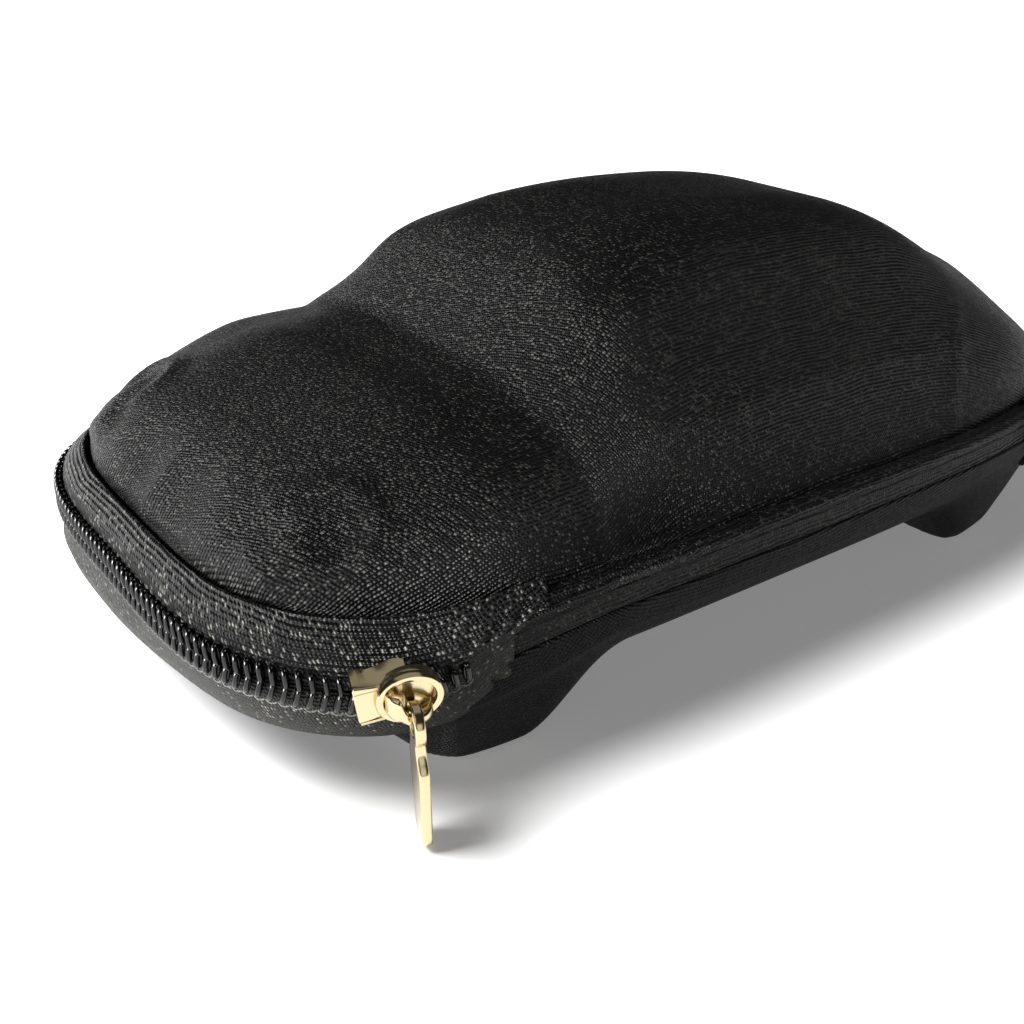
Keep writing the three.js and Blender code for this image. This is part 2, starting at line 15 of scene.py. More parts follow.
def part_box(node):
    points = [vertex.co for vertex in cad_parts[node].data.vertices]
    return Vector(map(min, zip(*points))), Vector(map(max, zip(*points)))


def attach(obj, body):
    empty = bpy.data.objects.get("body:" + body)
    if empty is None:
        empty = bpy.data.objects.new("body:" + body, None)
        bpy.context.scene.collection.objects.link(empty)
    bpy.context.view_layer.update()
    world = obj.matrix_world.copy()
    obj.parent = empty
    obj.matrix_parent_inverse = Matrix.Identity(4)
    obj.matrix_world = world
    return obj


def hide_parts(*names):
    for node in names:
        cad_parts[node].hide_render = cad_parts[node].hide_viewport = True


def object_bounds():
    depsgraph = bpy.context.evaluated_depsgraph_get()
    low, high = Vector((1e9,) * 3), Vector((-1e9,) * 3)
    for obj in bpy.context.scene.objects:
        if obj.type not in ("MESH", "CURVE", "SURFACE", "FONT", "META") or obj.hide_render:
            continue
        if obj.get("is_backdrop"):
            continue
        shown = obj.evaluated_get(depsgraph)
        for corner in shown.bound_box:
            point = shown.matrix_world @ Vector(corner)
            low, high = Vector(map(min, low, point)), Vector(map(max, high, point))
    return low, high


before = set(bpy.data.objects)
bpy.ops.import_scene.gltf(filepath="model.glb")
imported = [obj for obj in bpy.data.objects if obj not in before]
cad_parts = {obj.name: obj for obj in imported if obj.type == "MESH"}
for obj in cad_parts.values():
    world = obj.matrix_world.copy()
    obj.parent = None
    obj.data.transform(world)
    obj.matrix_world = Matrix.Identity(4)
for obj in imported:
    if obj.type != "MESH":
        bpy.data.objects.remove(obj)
cad_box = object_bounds()
lid_low, lid_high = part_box("upper_shell")
print("the case's shells measure", [round(1000 * side) for side in lid_high - lid_low], "mm")

# %% [markdown]
# ## Sizes
# The shapes are worked out in millimetres, counted from the widest point of the rim, as a mould maker would
# draw them. They become the scene's metres where a mesh is made.

# %% Sizes of the rim and the seam
MM = 0.001
NOSE_SHARE = 0.4183
NOSE_ROUNDNESS = 3.8
TAIL_ROUNDNESS = 4.3
SEAM_HEIGHT = 20.3
SEAM_GAP = 3.2
LID_RIM = 1.5
TRAY_RIM = 3.0
NOSE_SAG, NOSE_SAG_START, NOSE_SAG_RUN = 1.8, 25, 30
SLIDER_SAG, SLIDER_SAG_REACH, SLIDER_SAG_SIDE = 2.1, 14, 20
SLIDER_PLACE = -52

rim_length = (lid_high.x - lid_low.x) / MM
NOSE_LENGTH = rim_length * NOSE_SHARE
TAIL_LENGTH = rim_length - NOSE_LENGTH
HALF_WIDTH = (lid_high.y - lid_low.y) / 2 / MM
WIDEST_POINT = np.array([lid_low.x / MM + NOSE_LENGTH, (lid_low.y + lid_high.y) / 2 / MM, 0])
print("nose", round(NOSE_LENGTH, 1), "tail", round(TAIL_LENGTH, 1), "half-width", round(HALF_WIDTH, 1))

# %% Sizes of the lid
WALL = 2.5
SKIRT_WIDTH, SKIRT_RISE = 2.8, 3.9
ROOF_RISE = 32.4
END_FULLNESS = 8
CROWN_SHARE = 0.55
BELT_HEIGHT_SHARE, BELT_WIDTH_SHARE, BELT_BULGE = 0.42, 0.65, 1
GROOVE_HEIGHT = SEAM_HEIGHT + SKIRT_RISE
BODY_HALF_WIDTH = HALF_WIDTH - SKIRT_WIDTH
print("the roof stands", ROOF_RISE, "mm above the groove, which runs at", GROOVE_HEIGHT, "mm")

# %% [markdown]
# ## Tables of the form
# A car body is a row of cross-sections, so a short table holds one section a row. Each share is of a named
# size, and a smooth curve runs through the rows. A second table holds the low relief that the hot press
# leaves in the foam: fenders, the window's dent and the headlights.

# %% Tables
LID_SECTIONS = {
    "place": (-1.0, -0.8, -0.58, -0.43, -0.38, -0.34, -0.2, 0.0, 0.25, 0.5, 0.72, 0.88, 1.0),
    "top": (0.31, 0.36, 0.465, 0.5, 0.525, 0.6, 0.845, 0.98, 0.99, 0.915, 0.67, 0.56, 0.38),
    "shoulder": (0.72, 0.84, 0.81, 0.75, 0.72, 0.7, 0.64, 0.585, 0.56, 0.61, 0.66, 0.62, 0.73),
    "drop": (0.35, 0.34, 0.27, 0.23, 0.21, 0.19, 0.16, 0.14, 0.08, 0.1, 0.2, 0.28, 0.35),
}
ROUNDING = (0.5, 0.4, 0.5)
RELIEF_COLUMNS = ("along", "side", "up", "along_reach", "up_reach", "rise")
RELIEFS = {
    "front fender": (-0.47, 0.86, 0.33, 0.2, 0.22, 0.042),
    "valley behind it": (-0.2, 0.95, 0.04, 0.13, 0.25, -0.06),
    "window": (0.16, 0.7, 0.6, 0.31, 0.2, -0.04),
    "windscreen's foot": (-0.48, 0.0, 0.42, 0.04, 0.9, -0.008),
    "pillar": (-0.14, 0.56, 0.66, 0.12, 0.18, 0.036),
    "rear fender": (0.68, 0.95, 0.25, 0.18, 0.28, 0.04),
    "headlight": (-0.84, 0.62, 0.2, 0.1, 0.14, 0.03),
    "headlight's eye": (-0.8, 0.7, 0.2, 0.045, 0.08, -0.035),
    "headlight's inner dent": (-0.88, 0.5, 0.2, 0.04, 0.07, -0.03),
    "hollow beside it": (-0.94, 0.15, 0.2, 0.08, 0.2, -0.06),
}
TRAY_ROWS = {
    "inset": (0, 0.03, 0.065, 0.104, 0.15, 0.21, 0.3, 0.4, 0.52, 0.68),
    "rise": (1, 0.68, 0.46, 0.26, 0.09, 0.01, 0, 0, 0, 0),
    "wheel": (0, 0.08, 0.48, 0.86, 1, 1, 1, 0.86, 0.32, 0),
    "bulge": (0, 0.6, 0.95, 1, 0.8, 0.45, 0.15, 0, 0, 0),
}
print("the lid has", len(LID_SECTIONS["place"]), "sections and", len(RELIEFS), "spots of low relief")


# %% Smooth curves
def through(table, column, places):
    """Values of one column of a table on a smooth curve through its rows."""
    x, y = np.array(table["place"]), np.array(table[column])
    slopes = np.empty_like(y)
    slopes[1:-1] = (y[2:] - y[:-2]) / (x[2:] - x[:-2])
    slopes[0], slopes[-1] = (y[1] - y[0]) / (x[1] - x[0]), (y[-1] - y[-2]) / (x[-1] - x[-2])
    row = np.clip(np.searchsorted(x, places, side="right") - 1, 0, len(x) - 2)
    span = x[row + 1] - x[row]
    t = (places - x[row]) / span
    ends = (2 * t**3 - 3 * t**2 + 1) * y[row] + (3 * t**2 - 2 * t**3) * y[row + 1]
    return ends + span * ((t**3 - 2 * t**2 + t) * slopes[row] + (t**3 - t**2) * slopes[row + 1])


def smooth(value):
    share = np.clip(value, 0, 1)
    return share * share * (3 - 2 * share)


# %% [markdown]
# ## The rim
# Both shells end in the same rim, a superellipse that is blunt at the nose and blunter at the tail. Stations
# are spread evenly along it, so that the mesh stays even round the corners.

# %% The rim as a loop of stations
COLUMNS = 220
FINE_STATIONS = 6001


def end_length(place):
    """Length of the rim's nose or tail, from its widest point."""
    return np.where(place < 0, NOSE_LENGTH, TAIL_LENGTH)


def run_along(points):
    """Distance run along a chain of points."""
    return np.r_[0, np.cumsum(np.linalg.norm(np.diff(points, axis=0), axis=-1))]


def even_stations(count):
    """Even stations down one side of the rim, from nose to tail: their places and widths, as shares."""
    angle = np.linspace(0, np.pi, FINE_STATIONS)
    way = -np.sign(np.cos(angle))
    power = 2 / np.where(way < 0, NOSE_ROUNDNESS, TAIL_ROUNDNESS)
    place = way * np.abs(np.cos(angle)) ** power
    width = np.abs(np.sin(angle)) ** power
    width[-1] = 0
    run = run_along(np.stack([place * end_length(place), width * HALF_WIDTH], -1))
    even = np.linspace(0, run[-1], count + 1)
    return np.interp(even, run, place), np.interp(even, run, width)


side_place, side_width = even_stations(COLUMNS)
PLACE = np.r_[side_place[:-1], side_place[:0:-1]]
WIDTH = np.r_[side_width[:-1], side_width[:0:-1]]
SIDE = np.r_[-np.ones(COLUMNS), np.ones(COLUMNS)]


def rim_at(place, width, side, inset, height):
    """Points some way in from the rim, at a height."""
    spots = place * (end_length(place) - inset), side * width * (HALF_WIDTH - inset), height + 0 * place
    return np.stack(np.broadcast_arrays(*spots), -1)


def rim_ring(inset, height):
    return rim_at(PLACE, WIDTH, SIDE, inset, height)


def nose_share(x):
    """1 round the nose, falling to 0 behind the front wheels."""
    return np.clip((-x - NOSE_SAG_START) / NOSE_SAG_RUN, 0, 1)


def seam_at(x, y):
    """Height of the seam: it sags round the nose, and more beside the slider."""
    slider = np.exp(-(((x - SLIDER_PLACE) / SLIDER_SAG_REACH) ** 2))
    return SEAM_HEIGHT - NOSE_SAG * nose_share(x) - SLIDER_SAG * slider * np.clip(-y / SLIDER_SAG_SIDE, 0, 1)


RIM = rim_ring(0, 0)
SEAM = seam_at(RIM[:, 0], RIM[:, 1])
print("stations round the rim:", len(PLACE))

# %% [markdown]
# ## From rings to a mesh
# A shell is a stack of rings, from the outer middle over the rim to the inner middle. One function joins
# them with quads. It also lays down a UV map in real millimetres, along the car and down over the section, so
# that the knitted ribs later follow the cloth as it was drawn over the mould.

# %% Mesh helpers
WELD_DISTANCE = 0.002


def add_object(name, data):
    """A new object in the scene."""
    added = bpy.data.objects.new(name, data)
    bpy.context.scene.collection.objects.link(added)
    return added


def weld(mesh, sources, distance):
    """Fill a mesh from others, with near points joined, every face turned outwards and shaded smooth."""
    work = bmesh.new()
    for source in sources:
        work.from_mesh(source)
    bmesh.ops.remove_doubles(work, verts=work.verts, dist=distance)
    bmesh.ops.recalc_face_normals(work, faces=work.faces)
    work.to_mesh(mesh)
    work.free()
    mesh.shade_smooth()


def add_mesh(name, points, faces, uv):
    """A smooth mesh object from points in millimetres. uv holds a place on the cloth for each point."""
    mesh = bpy.data.meshes.new(name)
    scene_points = (np.asarray(points) + WIDEST_POINT) * MM
    mesh.from_pydata(scene_points.tolist(), [], faces)
    layer = mesh.uv_layers.new(name="cloth")
    corners = np.empty(len(mesh.loops), int)
    mesh.loops.foreach_get("vertex_index", corners)
    layer.data.foreach_set("uv", np.asarray(uv, float)[corners].ravel())
    weld(mesh, [mesh], WELD_DISTANCE * MM)
    return add_object(name, mesh)


def ring_faces(rows, count, joined=False):
    """Quads between rings of equal count. Joined, the last ring meets the first one again."""
    row, column = np.meshgrid(np.arange(rows if joined else rows - 1), np.arange(count), indexing="ij")
    below, after = (row + 1) % rows, (column + 1) % count
    corners = row * count + column, below * count + column, below * count + after, row * count + after
    return np.stack(corners, -1).reshape(-1, 4).tolist()


def capped_faces(rows, count):
    """Quads between rings, with a face on each end."""
    ends = [list(range(count)), list(range((rows - 1) * count, rows * count))[::-1]]
    return ring_faces(rows, count) + ends


def ring_normals(rings):
    """Unit normals of a grid of rings."""
    round_way = np.roll(rings, -1, axis=1) - np.roll(rings, 1, axis=1)
    down = np.empty_like(rings)
    down[1:-1] = rings[2:] - rings[:-2]
    down[0], down[-1] = rings[1] - rings[0], rings[-1] - rings[-2]
    normals = np.cross(down, round_way)
    size = np.linalg.norm(normals, axis=-1, keepdims=True)
    outwards = np.stack([np.sign(PLACE), 0 * PLACE, 0 * PLACE], -1)
    return np.where(size > 1e-7, normals / np.maximum(size, 1e-9), outwards)


def runs_down(rings):
    """Distance run down each column of a grid, from its first ring."""
    steps = np.linalg.norm(np.diff(rings, axis=0), axis=-1)
    return np.concatenate([np.zeros((1, rings.shape[1])), np.cumsum(steps, axis=0)])


def cloth_piece(name, rings, along, down, faces):
    """A closed piece from its rings, with the cloth's map on it in millimetres."""
    uv = np.stack(np.broadcast_arrays(along, down), -1)
    piece = add_mesh(name, rings.reshape(-1, 3), faces, uv.reshape(-1, 2))
    print(name, "has", len(piece.data.polygons), "faces")
    return piece


# %% [markdown]
# ## The lid
# The lid is one pressed shell: hood, windscreen, roof and tail. A polygon of five corners gives each section,
# and short curves round its corners. The relief is pushed along the surface's own normals. Creases that
# are too fine for the table, such as the belt line, follow in the same way.

# %% Sections of the lid
ARC_STEPS = 40
LID_ROWS = 76


def rounded(corners, shares, steps):
    """A chain of corners, each inner one replaced by a short curve. The first axis runs along the chain."""
    chain = [corners[0]]
    for index, share in enumerate(shares, start=1):
        corner = corners[index]
        start = corner + (corners[index - 1] - corner) * share
        end = corner + (corners[index + 1] - corner) * share
        for t in np.linspace(0, 1, steps):
            chain.append((1 - t) ** 2 * start + 2 * t * (1 - t) * corner + t**2 * end)
    chain.append(corners[-1])
    return np.array(chain)


def even_rows(section):
    """The same section on rows that are evenly spaced, so that the relief has points everywhere."""
    steps = np.linalg.norm(np.diff(section, axis=0), axis=1).mean(axis=-1)
    run = np.r_[0, np.cumsum(steps)]
    even = np.linspace(0, run[-1], LID_ROWS)
    row = np.clip(np.searchsorted(run, even, side="right") - 1, 0, len(run) - 2)
    share = ((even - run[row]) / (run[row + 1] - run[row]))[:, None, None]
    return section[row] * (1 - share) + section[row + 1] * share


def lid_surface():
    half = BODY_HALF_WIDTH * WIDTH
    end = np.sqrt(np.maximum(0, 1 - np.abs(PLACE) ** END_FULLNESS))
    rise = ROOF_RISE * through(LID_SECTIONS, "top", PLACE) * end
    shoulder = through(LID_SECTIONS, "shoulder", PLACE) * half
    drop = through(LID_SECTIONS, "drop", PLACE)
    belt = shoulder * (1 - BELT_WIDTH_SHARE) + half * BELT_WIDTH_SHARE + BELT_BULGE * WIDTH
    corners = np.array([
        [0 * half, rise],
        [shoulder * CROWN_SHARE, rise],
        [shoulder, rise * (1 - drop)],
        [belt, rise * BELT_HEIGHT_SHARE],
        [half, 0 * rise],
    ])
    section = even_rows(rounded(corners, ROUNDING, ARC_STEPS))
    x = PLACE * (end_length(PLACE) - SKIRT_WIDTH)
    across, up = section[:, 0] * SIDE, section[:, 1] + GROOVE_HEIGHT
    return np.stack([np.broadcast_to(x, across.shape), across, up], -1)


def relief(points):
    """Height of the low relief at points on the lid."""
    x, y, z = points[..., 0], np.abs(points[..., 1]), points[..., 2]
    lift = np.zeros(x.shape)
    for row in RELIEFS.values():
        spot = dict(zip(RELIEF_COLUMNS, row))
        length = NOSE_LENGTH if spot["along"] < 0 else TAIL_LENGTH
        along = (x / length - spot["along"]) / spot["along_reach"]
        reach = spot["up_reach"] * ROOF_RISE
        across = (y - spot["side"] * BODY_HALF_WIDTH) / reach
        up = (z - GROOVE_HEIGHT - spot["up"] * ROOF_RISE) / reach
        lift += spot["rise"] * ROOF_RISE * np.exp(-(along**2 + across**2 + up**2))
    return lift


# %% Fine creases of the lid
FLANK_START, FLANK_RUN = 20, 8
BELT_LINE = {"height": 37.2, "from": -16, "to": 62, "middle": 20, "fade": 14, "rise": 0.35, "fall": 0.035,
             "width": 1.1}
FENDER_ARCH = {"x": 66, "z": 24, "radius": 20, "to": 60, "fade": 10, "rise": 0.35, "width": 1.6}
ROOF_CREASE = {"x": -9, "bend": 0.012, "to": 28, "fade": 8, "rise": 0.22, "width": 2.2}
HEADLIGHT_RING = {"x": -57, "y": 27, "z": 31, "radius": 7.5, "room": 25, "fade": 8,
                  "rise": 0.55, "width": 1.5}


def crease(distance, row):
    """A soft ridge of a row's rise and width, from the distance to its line."""
    return row["rise"] * np.exp(-((distance / row["width"]) ** 2))


def fine_relief(points):
    """Belt line, rear fender's arch, the fold between windscreen and roof, and the headlights' rings."""
    x, y, z = points[..., 0], np.abs(points[..., 1]), points[..., 2]
    on_flank = smooth((y - FLANK_START) / FLANK_RUN)
    belt, arch, fold, lamp = BELT_LINE, FENDER_ARCH, ROOF_CREASE, HEADLIGHT_RING
    run = smooth((x - belt["from"]) / belt["fade"]) * smooth((belt["to"] - x) / belt["fade"])
    above_belt = z - belt["height"] + belt["fall"] * np.abs(x - belt["middle"])
    lift = crease(above_belt, belt) * run * on_flank
    round_arch = np.hypot(x - arch["x"], z - arch["z"]) - arch["radius"]
    lift += crease(round_arch, arch) * smooth((arch["to"] - x) / arch["fade"]) * on_flank
    behind_fold = x - fold["x"] + fold["bend"] * y**2
    lift += crease(behind_fold, fold) * smooth((fold["to"] - y) / fold["fade"])
    ring = np.sqrt((x - lamp["x"]) ** 2 + (y - lamp["y"]) ** 2 + (z - lamp["z"]) ** 2) - lamp["radius"]
    lift += crease(ring, lamp) * smooth((NOSE_LENGTH + x + lamp["room"]) / lamp["fade"])
    return lift


# %% Build the lid
GROOVE_DEPTH, GROOVE_ENDS = 0.45, 2.5
SKIRT_BULGE, SKIRT_BULGE_START = 0.35, 0.35
RIM_CORNER = 0.5
FOOT_INSET = SKIRT_WIDTH + WALL
SKIRT_STEPS = 10
INNER_STEP = 4


def lid_rings():
    outer = lid_surface()
    lift = relief(outer) + fine_relief(outer)
    lift[-1] = 0
    outer = outer + ring_normals(outer) * lift[..., None]
    face, gap = SEAM + SEAM_GAP / 2 + LID_RIM, SEAM + SEAM_GAP / 2
    rings = list(outer)
    for t in np.linspace(0, 1, SKIRT_STEPS)[1:]:
        hollow = GROOVE_DEPTH * np.sin(np.pi * min(1, GROOVE_ENDS * t))
        bulge = SKIRT_BULGE * np.sin(np.pi * max(0, (t - SKIRT_BULGE_START) / (1 - SKIRT_BULGE_START)))
        inset = SKIRT_WIDTH + (RIM_CORNER - SKIRT_WIDTH) * t + hollow - bulge
        rings.append(rim_ring(inset, GROOVE_HEIGHT + (face - GROOVE_HEIGHT) * t - hollow + bulge * 0.5))
    for t in np.linspace(0, np.pi / 2, 5)[1:]:
        rings.append(rim_ring(RIM_CORNER * (1 - np.sin(t)), face - RIM_CORNER * (1 - np.cos(t))))
    for t in np.linspace(0, np.pi / 2, 4):
        rings.append(rim_ring(RIM_CORNER * (1 - np.cos(t)), gap + RIM_CORNER * (1 - np.sin(t))))
    rings.append(rim_ring(FOOT_INSET, gap))
    rings.append(rim_ring(FOOT_INSET, GROOVE_HEIGHT - WALL / 2))
    inner = (outer - ring_normals(outer) * WALL)[-1 - INNER_STEP::-INNER_STEP]
    inner_top = outer[0] - np.array([0, 0, WALL])
    inner_top[:, 1] = 0
    return np.array(rings + list(inner[:-1]) + [inner_top])


lid_points = lid_rings()
crown_run = run_along(lid_points[0, : COLUMNS + 1])
lid_along = np.r_[crown_run[:-1], crown_run[:0:-1]]
lid_down = runs_down(lid_points) * SIDE
lid = cloth_piece("lid_shell", lid_points, lid_along, lid_down, ring_faces(*lid_points.shape[:2]))

# %% [markdown]
# ## The tray
# The lower shell is pressed from the same foam. Its floor stands on four wheel bumps, each worked out from a
# soft step along the car and another across it.

# %% Build the tray
PAN_HEIGHT = 8
NOSE_FLANK_FULLNESS = 0.45
NOSE_BULGE, NOSE_BULGE_SIDE, NOSE_BULGE_RUN = 2.6, -22, 25
WHEEL_PLACES = (-38.5, 65)
WHEEL_FLAT, WHEEL_FLANK = 3.5, 15
WHEEL_INNER_SIDE, WHEEL_INNER_RUN = 17, 10
WHEEL_OVERDRAW = 2
TRAY_STEPS, TRAY_STEP_GROWTH = 46, 1.25
TRAY_MIDDLE = 0.8
FOOT_ROUND, FOOT_SINK = 0.5, 0.45


def nose_bulge(rim):
    """How far the flank below the zip stands out round the nose, in mm, at stations of the rim."""
    return NOSE_BULGE * nose_share(rim[:, 0]) * smooth((rim[:, 1] - NOSE_BULGE_SIDE) / NOSE_BULGE_RUN)


def wheel_share(x):
    reach = [smooth((WHEEL_FLAT + WHEEL_FLANK - np.abs(x - middle)) / WHEEL_FLANK) for middle in WHEEL_PLACES]
    return np.maximum(*reach)


def tray_rings():
    inset_rows = TRAY_ROWS["inset"]
    growth = np.linspace(0, 1, TRAY_STEPS) ** TRAY_STEP_GROWTH
    steps = np.interp(growth, np.linspace(0, 1, len(inset_rows)), inset_rows)
    face, gap = SEAM - SEAM_GAP / 2 - TRAY_RIM, SEAM - SEAM_GAP / 2
    outer = []
    for inset in steps:
        shares = {name: np.interp(inset, inset_rows, row) for name, row in TRAY_ROWS.items()}
        ring = rim_ring(inset * HALF_WIDTH, 0)
        outwards = rim_ring(inset * HALF_WIDTH - 1, 0) - ring
        ring[:, :2] += outwards[:, :2] * (nose_bulge(RIM) * shares["bulge"])[:, None]
        fullness = 1 - NOSE_FLANK_FULLNESS * nose_share(RIM[:, 0]) * (inset > 0)
        across = smooth((np.abs(ring[:, 1]) - WHEEL_INNER_SIDE) / WHEEL_INNER_RUN)
        depth = (PAN_HEIGHT + WHEEL_OVERDRAW) * shares["wheel"] * wheel_share(ring[:, 0]) * across
        height = PAN_HEIGHT + (face - PAN_HEIGHT) * shares["rise"] * fullness - depth
        foot = FOOT_ROUND * np.exp(np.minimum(height / FOOT_ROUND - 1, 0))
        ring[:, 2] = np.where(height < FOOT_ROUND, foot, height)
        outer.append(ring)
    outer = np.array(outer)
    outer[..., 2] -= np.minimum(outer[..., 2].min(), FOOT_SINK)
    middle = outer[-1] * [TRAY_MIDDLE, 0, 1]
    inner = (outer - ring_normals(outer) * WALL)[3::INNER_STEP]
    inner_middle = inner[-1] * [TRAY_MIDDLE, 0, 1]
    top = [rim_ring(FOOT_INSET, gap)]
    for t in np.linspace(0, np.pi / 2, 4):
        top.append(rim_ring(RIM_CORNER * (1 - np.sin(t)), gap - RIM_CORNER * (1 - np.cos(t))))
    return np.array([inner_middle] + list(inner[::-1]) + top + list(outer) + [middle])


tray_points = tray_rings()
tray_faces = ring_faces(*tray_points.shape[:2])
tray = cloth_piece("tray_shell", tray_points, run_along(RIM), runs_down(tray_points), tray_faces)

# %% [markdown]
# ## The zip's line
# Tapes, coil and stitches all follow one line: from behind the rear wheel, round the tail, the far side and
# the nose, back to just past the slider. Points are kept as a place and a signed width on the rim.

# %% The zip's line
ZIP_START, ZIP_END = -43, 69
SIDE_STATIONS = 3000
CLEARANCE, TAPE = 0.3, 0.7
COIL_DEPTH, COIL_HEIGHT, COIL_GAP = 1.5, 2.3, 0.3
COIL_INNER = 2 * CLEARANCE + TAPE
COIL_OUTER = COIL_INNER + COIL_DEPTH


def zip_line(count, start_place):
    """Even stations along the zip: their places, signed widths on the rim and distances run."""
    place, width = even_stations(SIDE_STATIONS)
    x = place * end_length(place)
    tail, nose = x > ZIP_END, x < start_place
    places = np.r_[place[tail], place[::-1][1:-1], place[nose]]
    widths = np.r_[-width[tail], width[::-1][1:-1], -width[nose]]
    run = run_along(rim_at(places, widths, 1, 0, 0))
    even = np.linspace(0, run[-1], count)
    return np.interp(even, run, places), np.interp(even, run, widths), even


def rim_and_seam(place, width):
    """Points of the rim at stations, and the seam's height there."""
    rim = rim_at(place, width, 1, 0, 0)
    return rim, seam_at(rim[:, 0], rim[:, 1])


print("the zip is", round(zip_line(800, ZIP_START)[2][-1]), "mm long")

# %% [markdown]
# ## Tapes
# Each tape is woven polyester, 0.7 mm thick, pressed flat on the skirt and turned down behind its coil. A
# thin closed section is drawn at each station and swept along the line. Near the slider the end is puckered.

# %% Sweep of closed sections
def strip_piece(name, place, width, section, run):
    """A strip along the rim, from closed sections of distances outwards and heights."""
    points = rim_at(place, width, 1, -section[..., 0], section[..., 1])
    faces = capped_faces(len(place), len(section))
    return cloth_piece(name, np.moveaxis(points, 0, 1), run[:, None], runs_down(points).T, faces)


def flat_section(line, thickness):
    """Closed section of a strip, from its middle line: an array of points, stations and two sizes."""
    along = np.empty_like(line)
    along[1:-1] = line[2:] - line[:-2]
    along[0], along[-1] = line[1] - line[0], line[-1] - line[-2]
    along /= np.linalg.norm(along, axis=-1, keepdims=True)
    across = np.stack([along[..., 1], -along[..., 0]], -1)
    side = line + across * thickness / 2
    other = line - across * thickness / 2
    tip, foot = line[-1] + along[-1] * thickness * 0.3, line[0] - along[0] * thickness * 0.3
    return np.concatenate([side, tip[None], other[::-1], foot[None]], axis=0)


# %% Build the tapes
TAPE_STATIONS = 620
TAPE_SKIRT_SHARE, TAPE_EDGE_SHARE, TAPE_ROUNDING = 0.86, 0.3, 0.45
TAPE_ROWS = 10
PUCKER = {"from": -50, "run": 7, "height": 0.5, "length": 3.1, "slant": 2.5, "fading": 0.6}
TAPE_END = {"from": -48, "to": {1: -35.5, -1: -40}, "level": {1: 0.62, -1: 0.25},
            "gathered": 0.75, "inwards": 0.3}
OPENING = {"from": -51, "lift": 0.5, "rise": 2.0, "inwards": 1.0, "tape_run": 4}
BULGE_FOLLOWED, BULGE_GROWTH = 0.65, 1.3


def tape_chain(face, seam, x, way):
    """Middle line of a tape: down behind its coil, round the rim's edge and along the skirt or the flank."""
    if way > 0:
        reach = np.stack([np.full_like(face, -SKIRT_WIDTH), GROOVE_HEIGHT - face])
    else:
        first_inset, first_rise = TRAY_ROWS["inset"][1], TRAY_ROWS["rise"][1]
        flank = 1 - first_rise * (1 - NOSE_FLANK_FULLNESS * nose_share(x))
        reach = np.stack([np.full_like(face, -first_inset * HALF_WIDTH), (PAN_HEIGHT - face) * flank])
    outward = np.stack([np.abs(reach[1]), way * np.abs(reach[0])]) / np.linalg.norm(reach, axis=0)
    reach = reach * TAPE_SKIRT_SHARE
    middle = CLEARANCE + TAPE / 2
    corners = np.array([
        [middle + 0 * face, seam + way * COIL_GAP / 2],
        [middle + 0 * face, face + outward[1] * middle * TAPE_EDGE_SHARE],
        [reach[0] + outward[0] * middle, face + reach[1] + outward[1] * middle],
    ])
    return rounded(corners, (TAPE_ROUNDING,), TAPE_ROWS)


def tape_piece(name, way):
    end_place = TAPE_END["to"][way]
    place, width, run = zip_line(TAPE_STATIONS, end_place)
    rim, seam = rim_and_seam(place, width)
    x = rim[:, 0]
    face = seam + way * SEAM_GAP / 2 + (LID_RIM if way > 0 else -TRAY_RIM)
    chain = tape_chain(face, seam, x, way)
    near = (width < 0) & (x < 0)
    ending = np.where(near, smooth((x - TAPE_END["from"]) / (end_place - TAPE_END["from"])), 0)
    pucker = np.where(near, smooth((x - PUCKER["from"]) / PUCKER["run"]), 0) * (1 - PUCKER["fading"] * ending)
    level = np.linspace(0, 1, len(chain))[:, None]
    fold = np.sin(2 * np.pi * (x - PUCKER["slant"] * level) / PUCKER["length"])
    ripple = PUCKER["height"] * pucker * fold
    meeting_level = TAPE_END["level"][way]
    beyond = level < meeting_level if way > 0 else level > meeting_level
    for part in range(2):
        meeting = chain[int(meeting_level * (len(chain) - 1)), part]
        chain[:, part] += (meeting - chain[:, part]) * TAPE_END["gathered"] * ending * beyond
    inwards = CLEARANCE + TAPE / 2 + TAPE_END["inwards"]
    chain[:, 0] += ripple * np.sin(np.pi * np.clip(level, 0.06, 0.94)) - inwards * ending
    if way < 0:
        chain[:, 0] += BULGE_FOLLOWED * nose_bulge(rim) * level**BULGE_GROWTH
        parted = smooth((x - OPENING["from"]) / OPENING["tape_run"]) * near
        chain[:, 1] += OPENING["rise"] * parted * (1 - level) ** 2
    return strip_piece(name, place, width, flat_section(np.moveaxis(chain, 1, 2), TAPE), run)


upper_tape = tape_piece("tape_upper", 1)
lower_tape = tape_piece("tape_lower", -1)

# %% [markdown]
# ## Nodes and materials: small helpers
# Colours are written as sRGB hex values, as a colour chart gives them, and one function turns them linear.
# One function adds a node of any kind, with its settings and its links. Another lays fine waves over a hard
# surface, because no real one mirrors its room evenly.

# %% Helpers for nodes
def linear(hex_colour):
    channels = [int(hex_colour[at:at + 2], 16) / 255 for at in (0, 2, 4)]
    return tuple(c / 12.92 if c <= 0.04045 else ((c + 0.055) / 1.055) ** 2.4 for c in channels) + (1,)


def add_node(tree, kind, inputs=None, **settings):
    """A node with its settings. Each input is a value or the output socket that it is linked to."""
    node = tree.nodes.new(kind)
    for key, value in settings.items():
        setattr(node, key, value)
    for key, value in (inputs or {}).items():
        if isinstance(value, bpy.types.NodeSocket):
            tree.links.new(value, node.inputs[key])
        else:
            node.inputs[key].default_value = value
    return node


def new_material(name, shader_values):
    """A material with one shader, whose plain values are set on its own sockets."""
    material = bpy.data.materials.new(name)
    material.use_nodes = True
    shader = material.node_tree.nodes["Principled BSDF"]
    for key, value in shader_values.items():
        shader.inputs[key].default_value = value
    return material, material.node_tree, shader


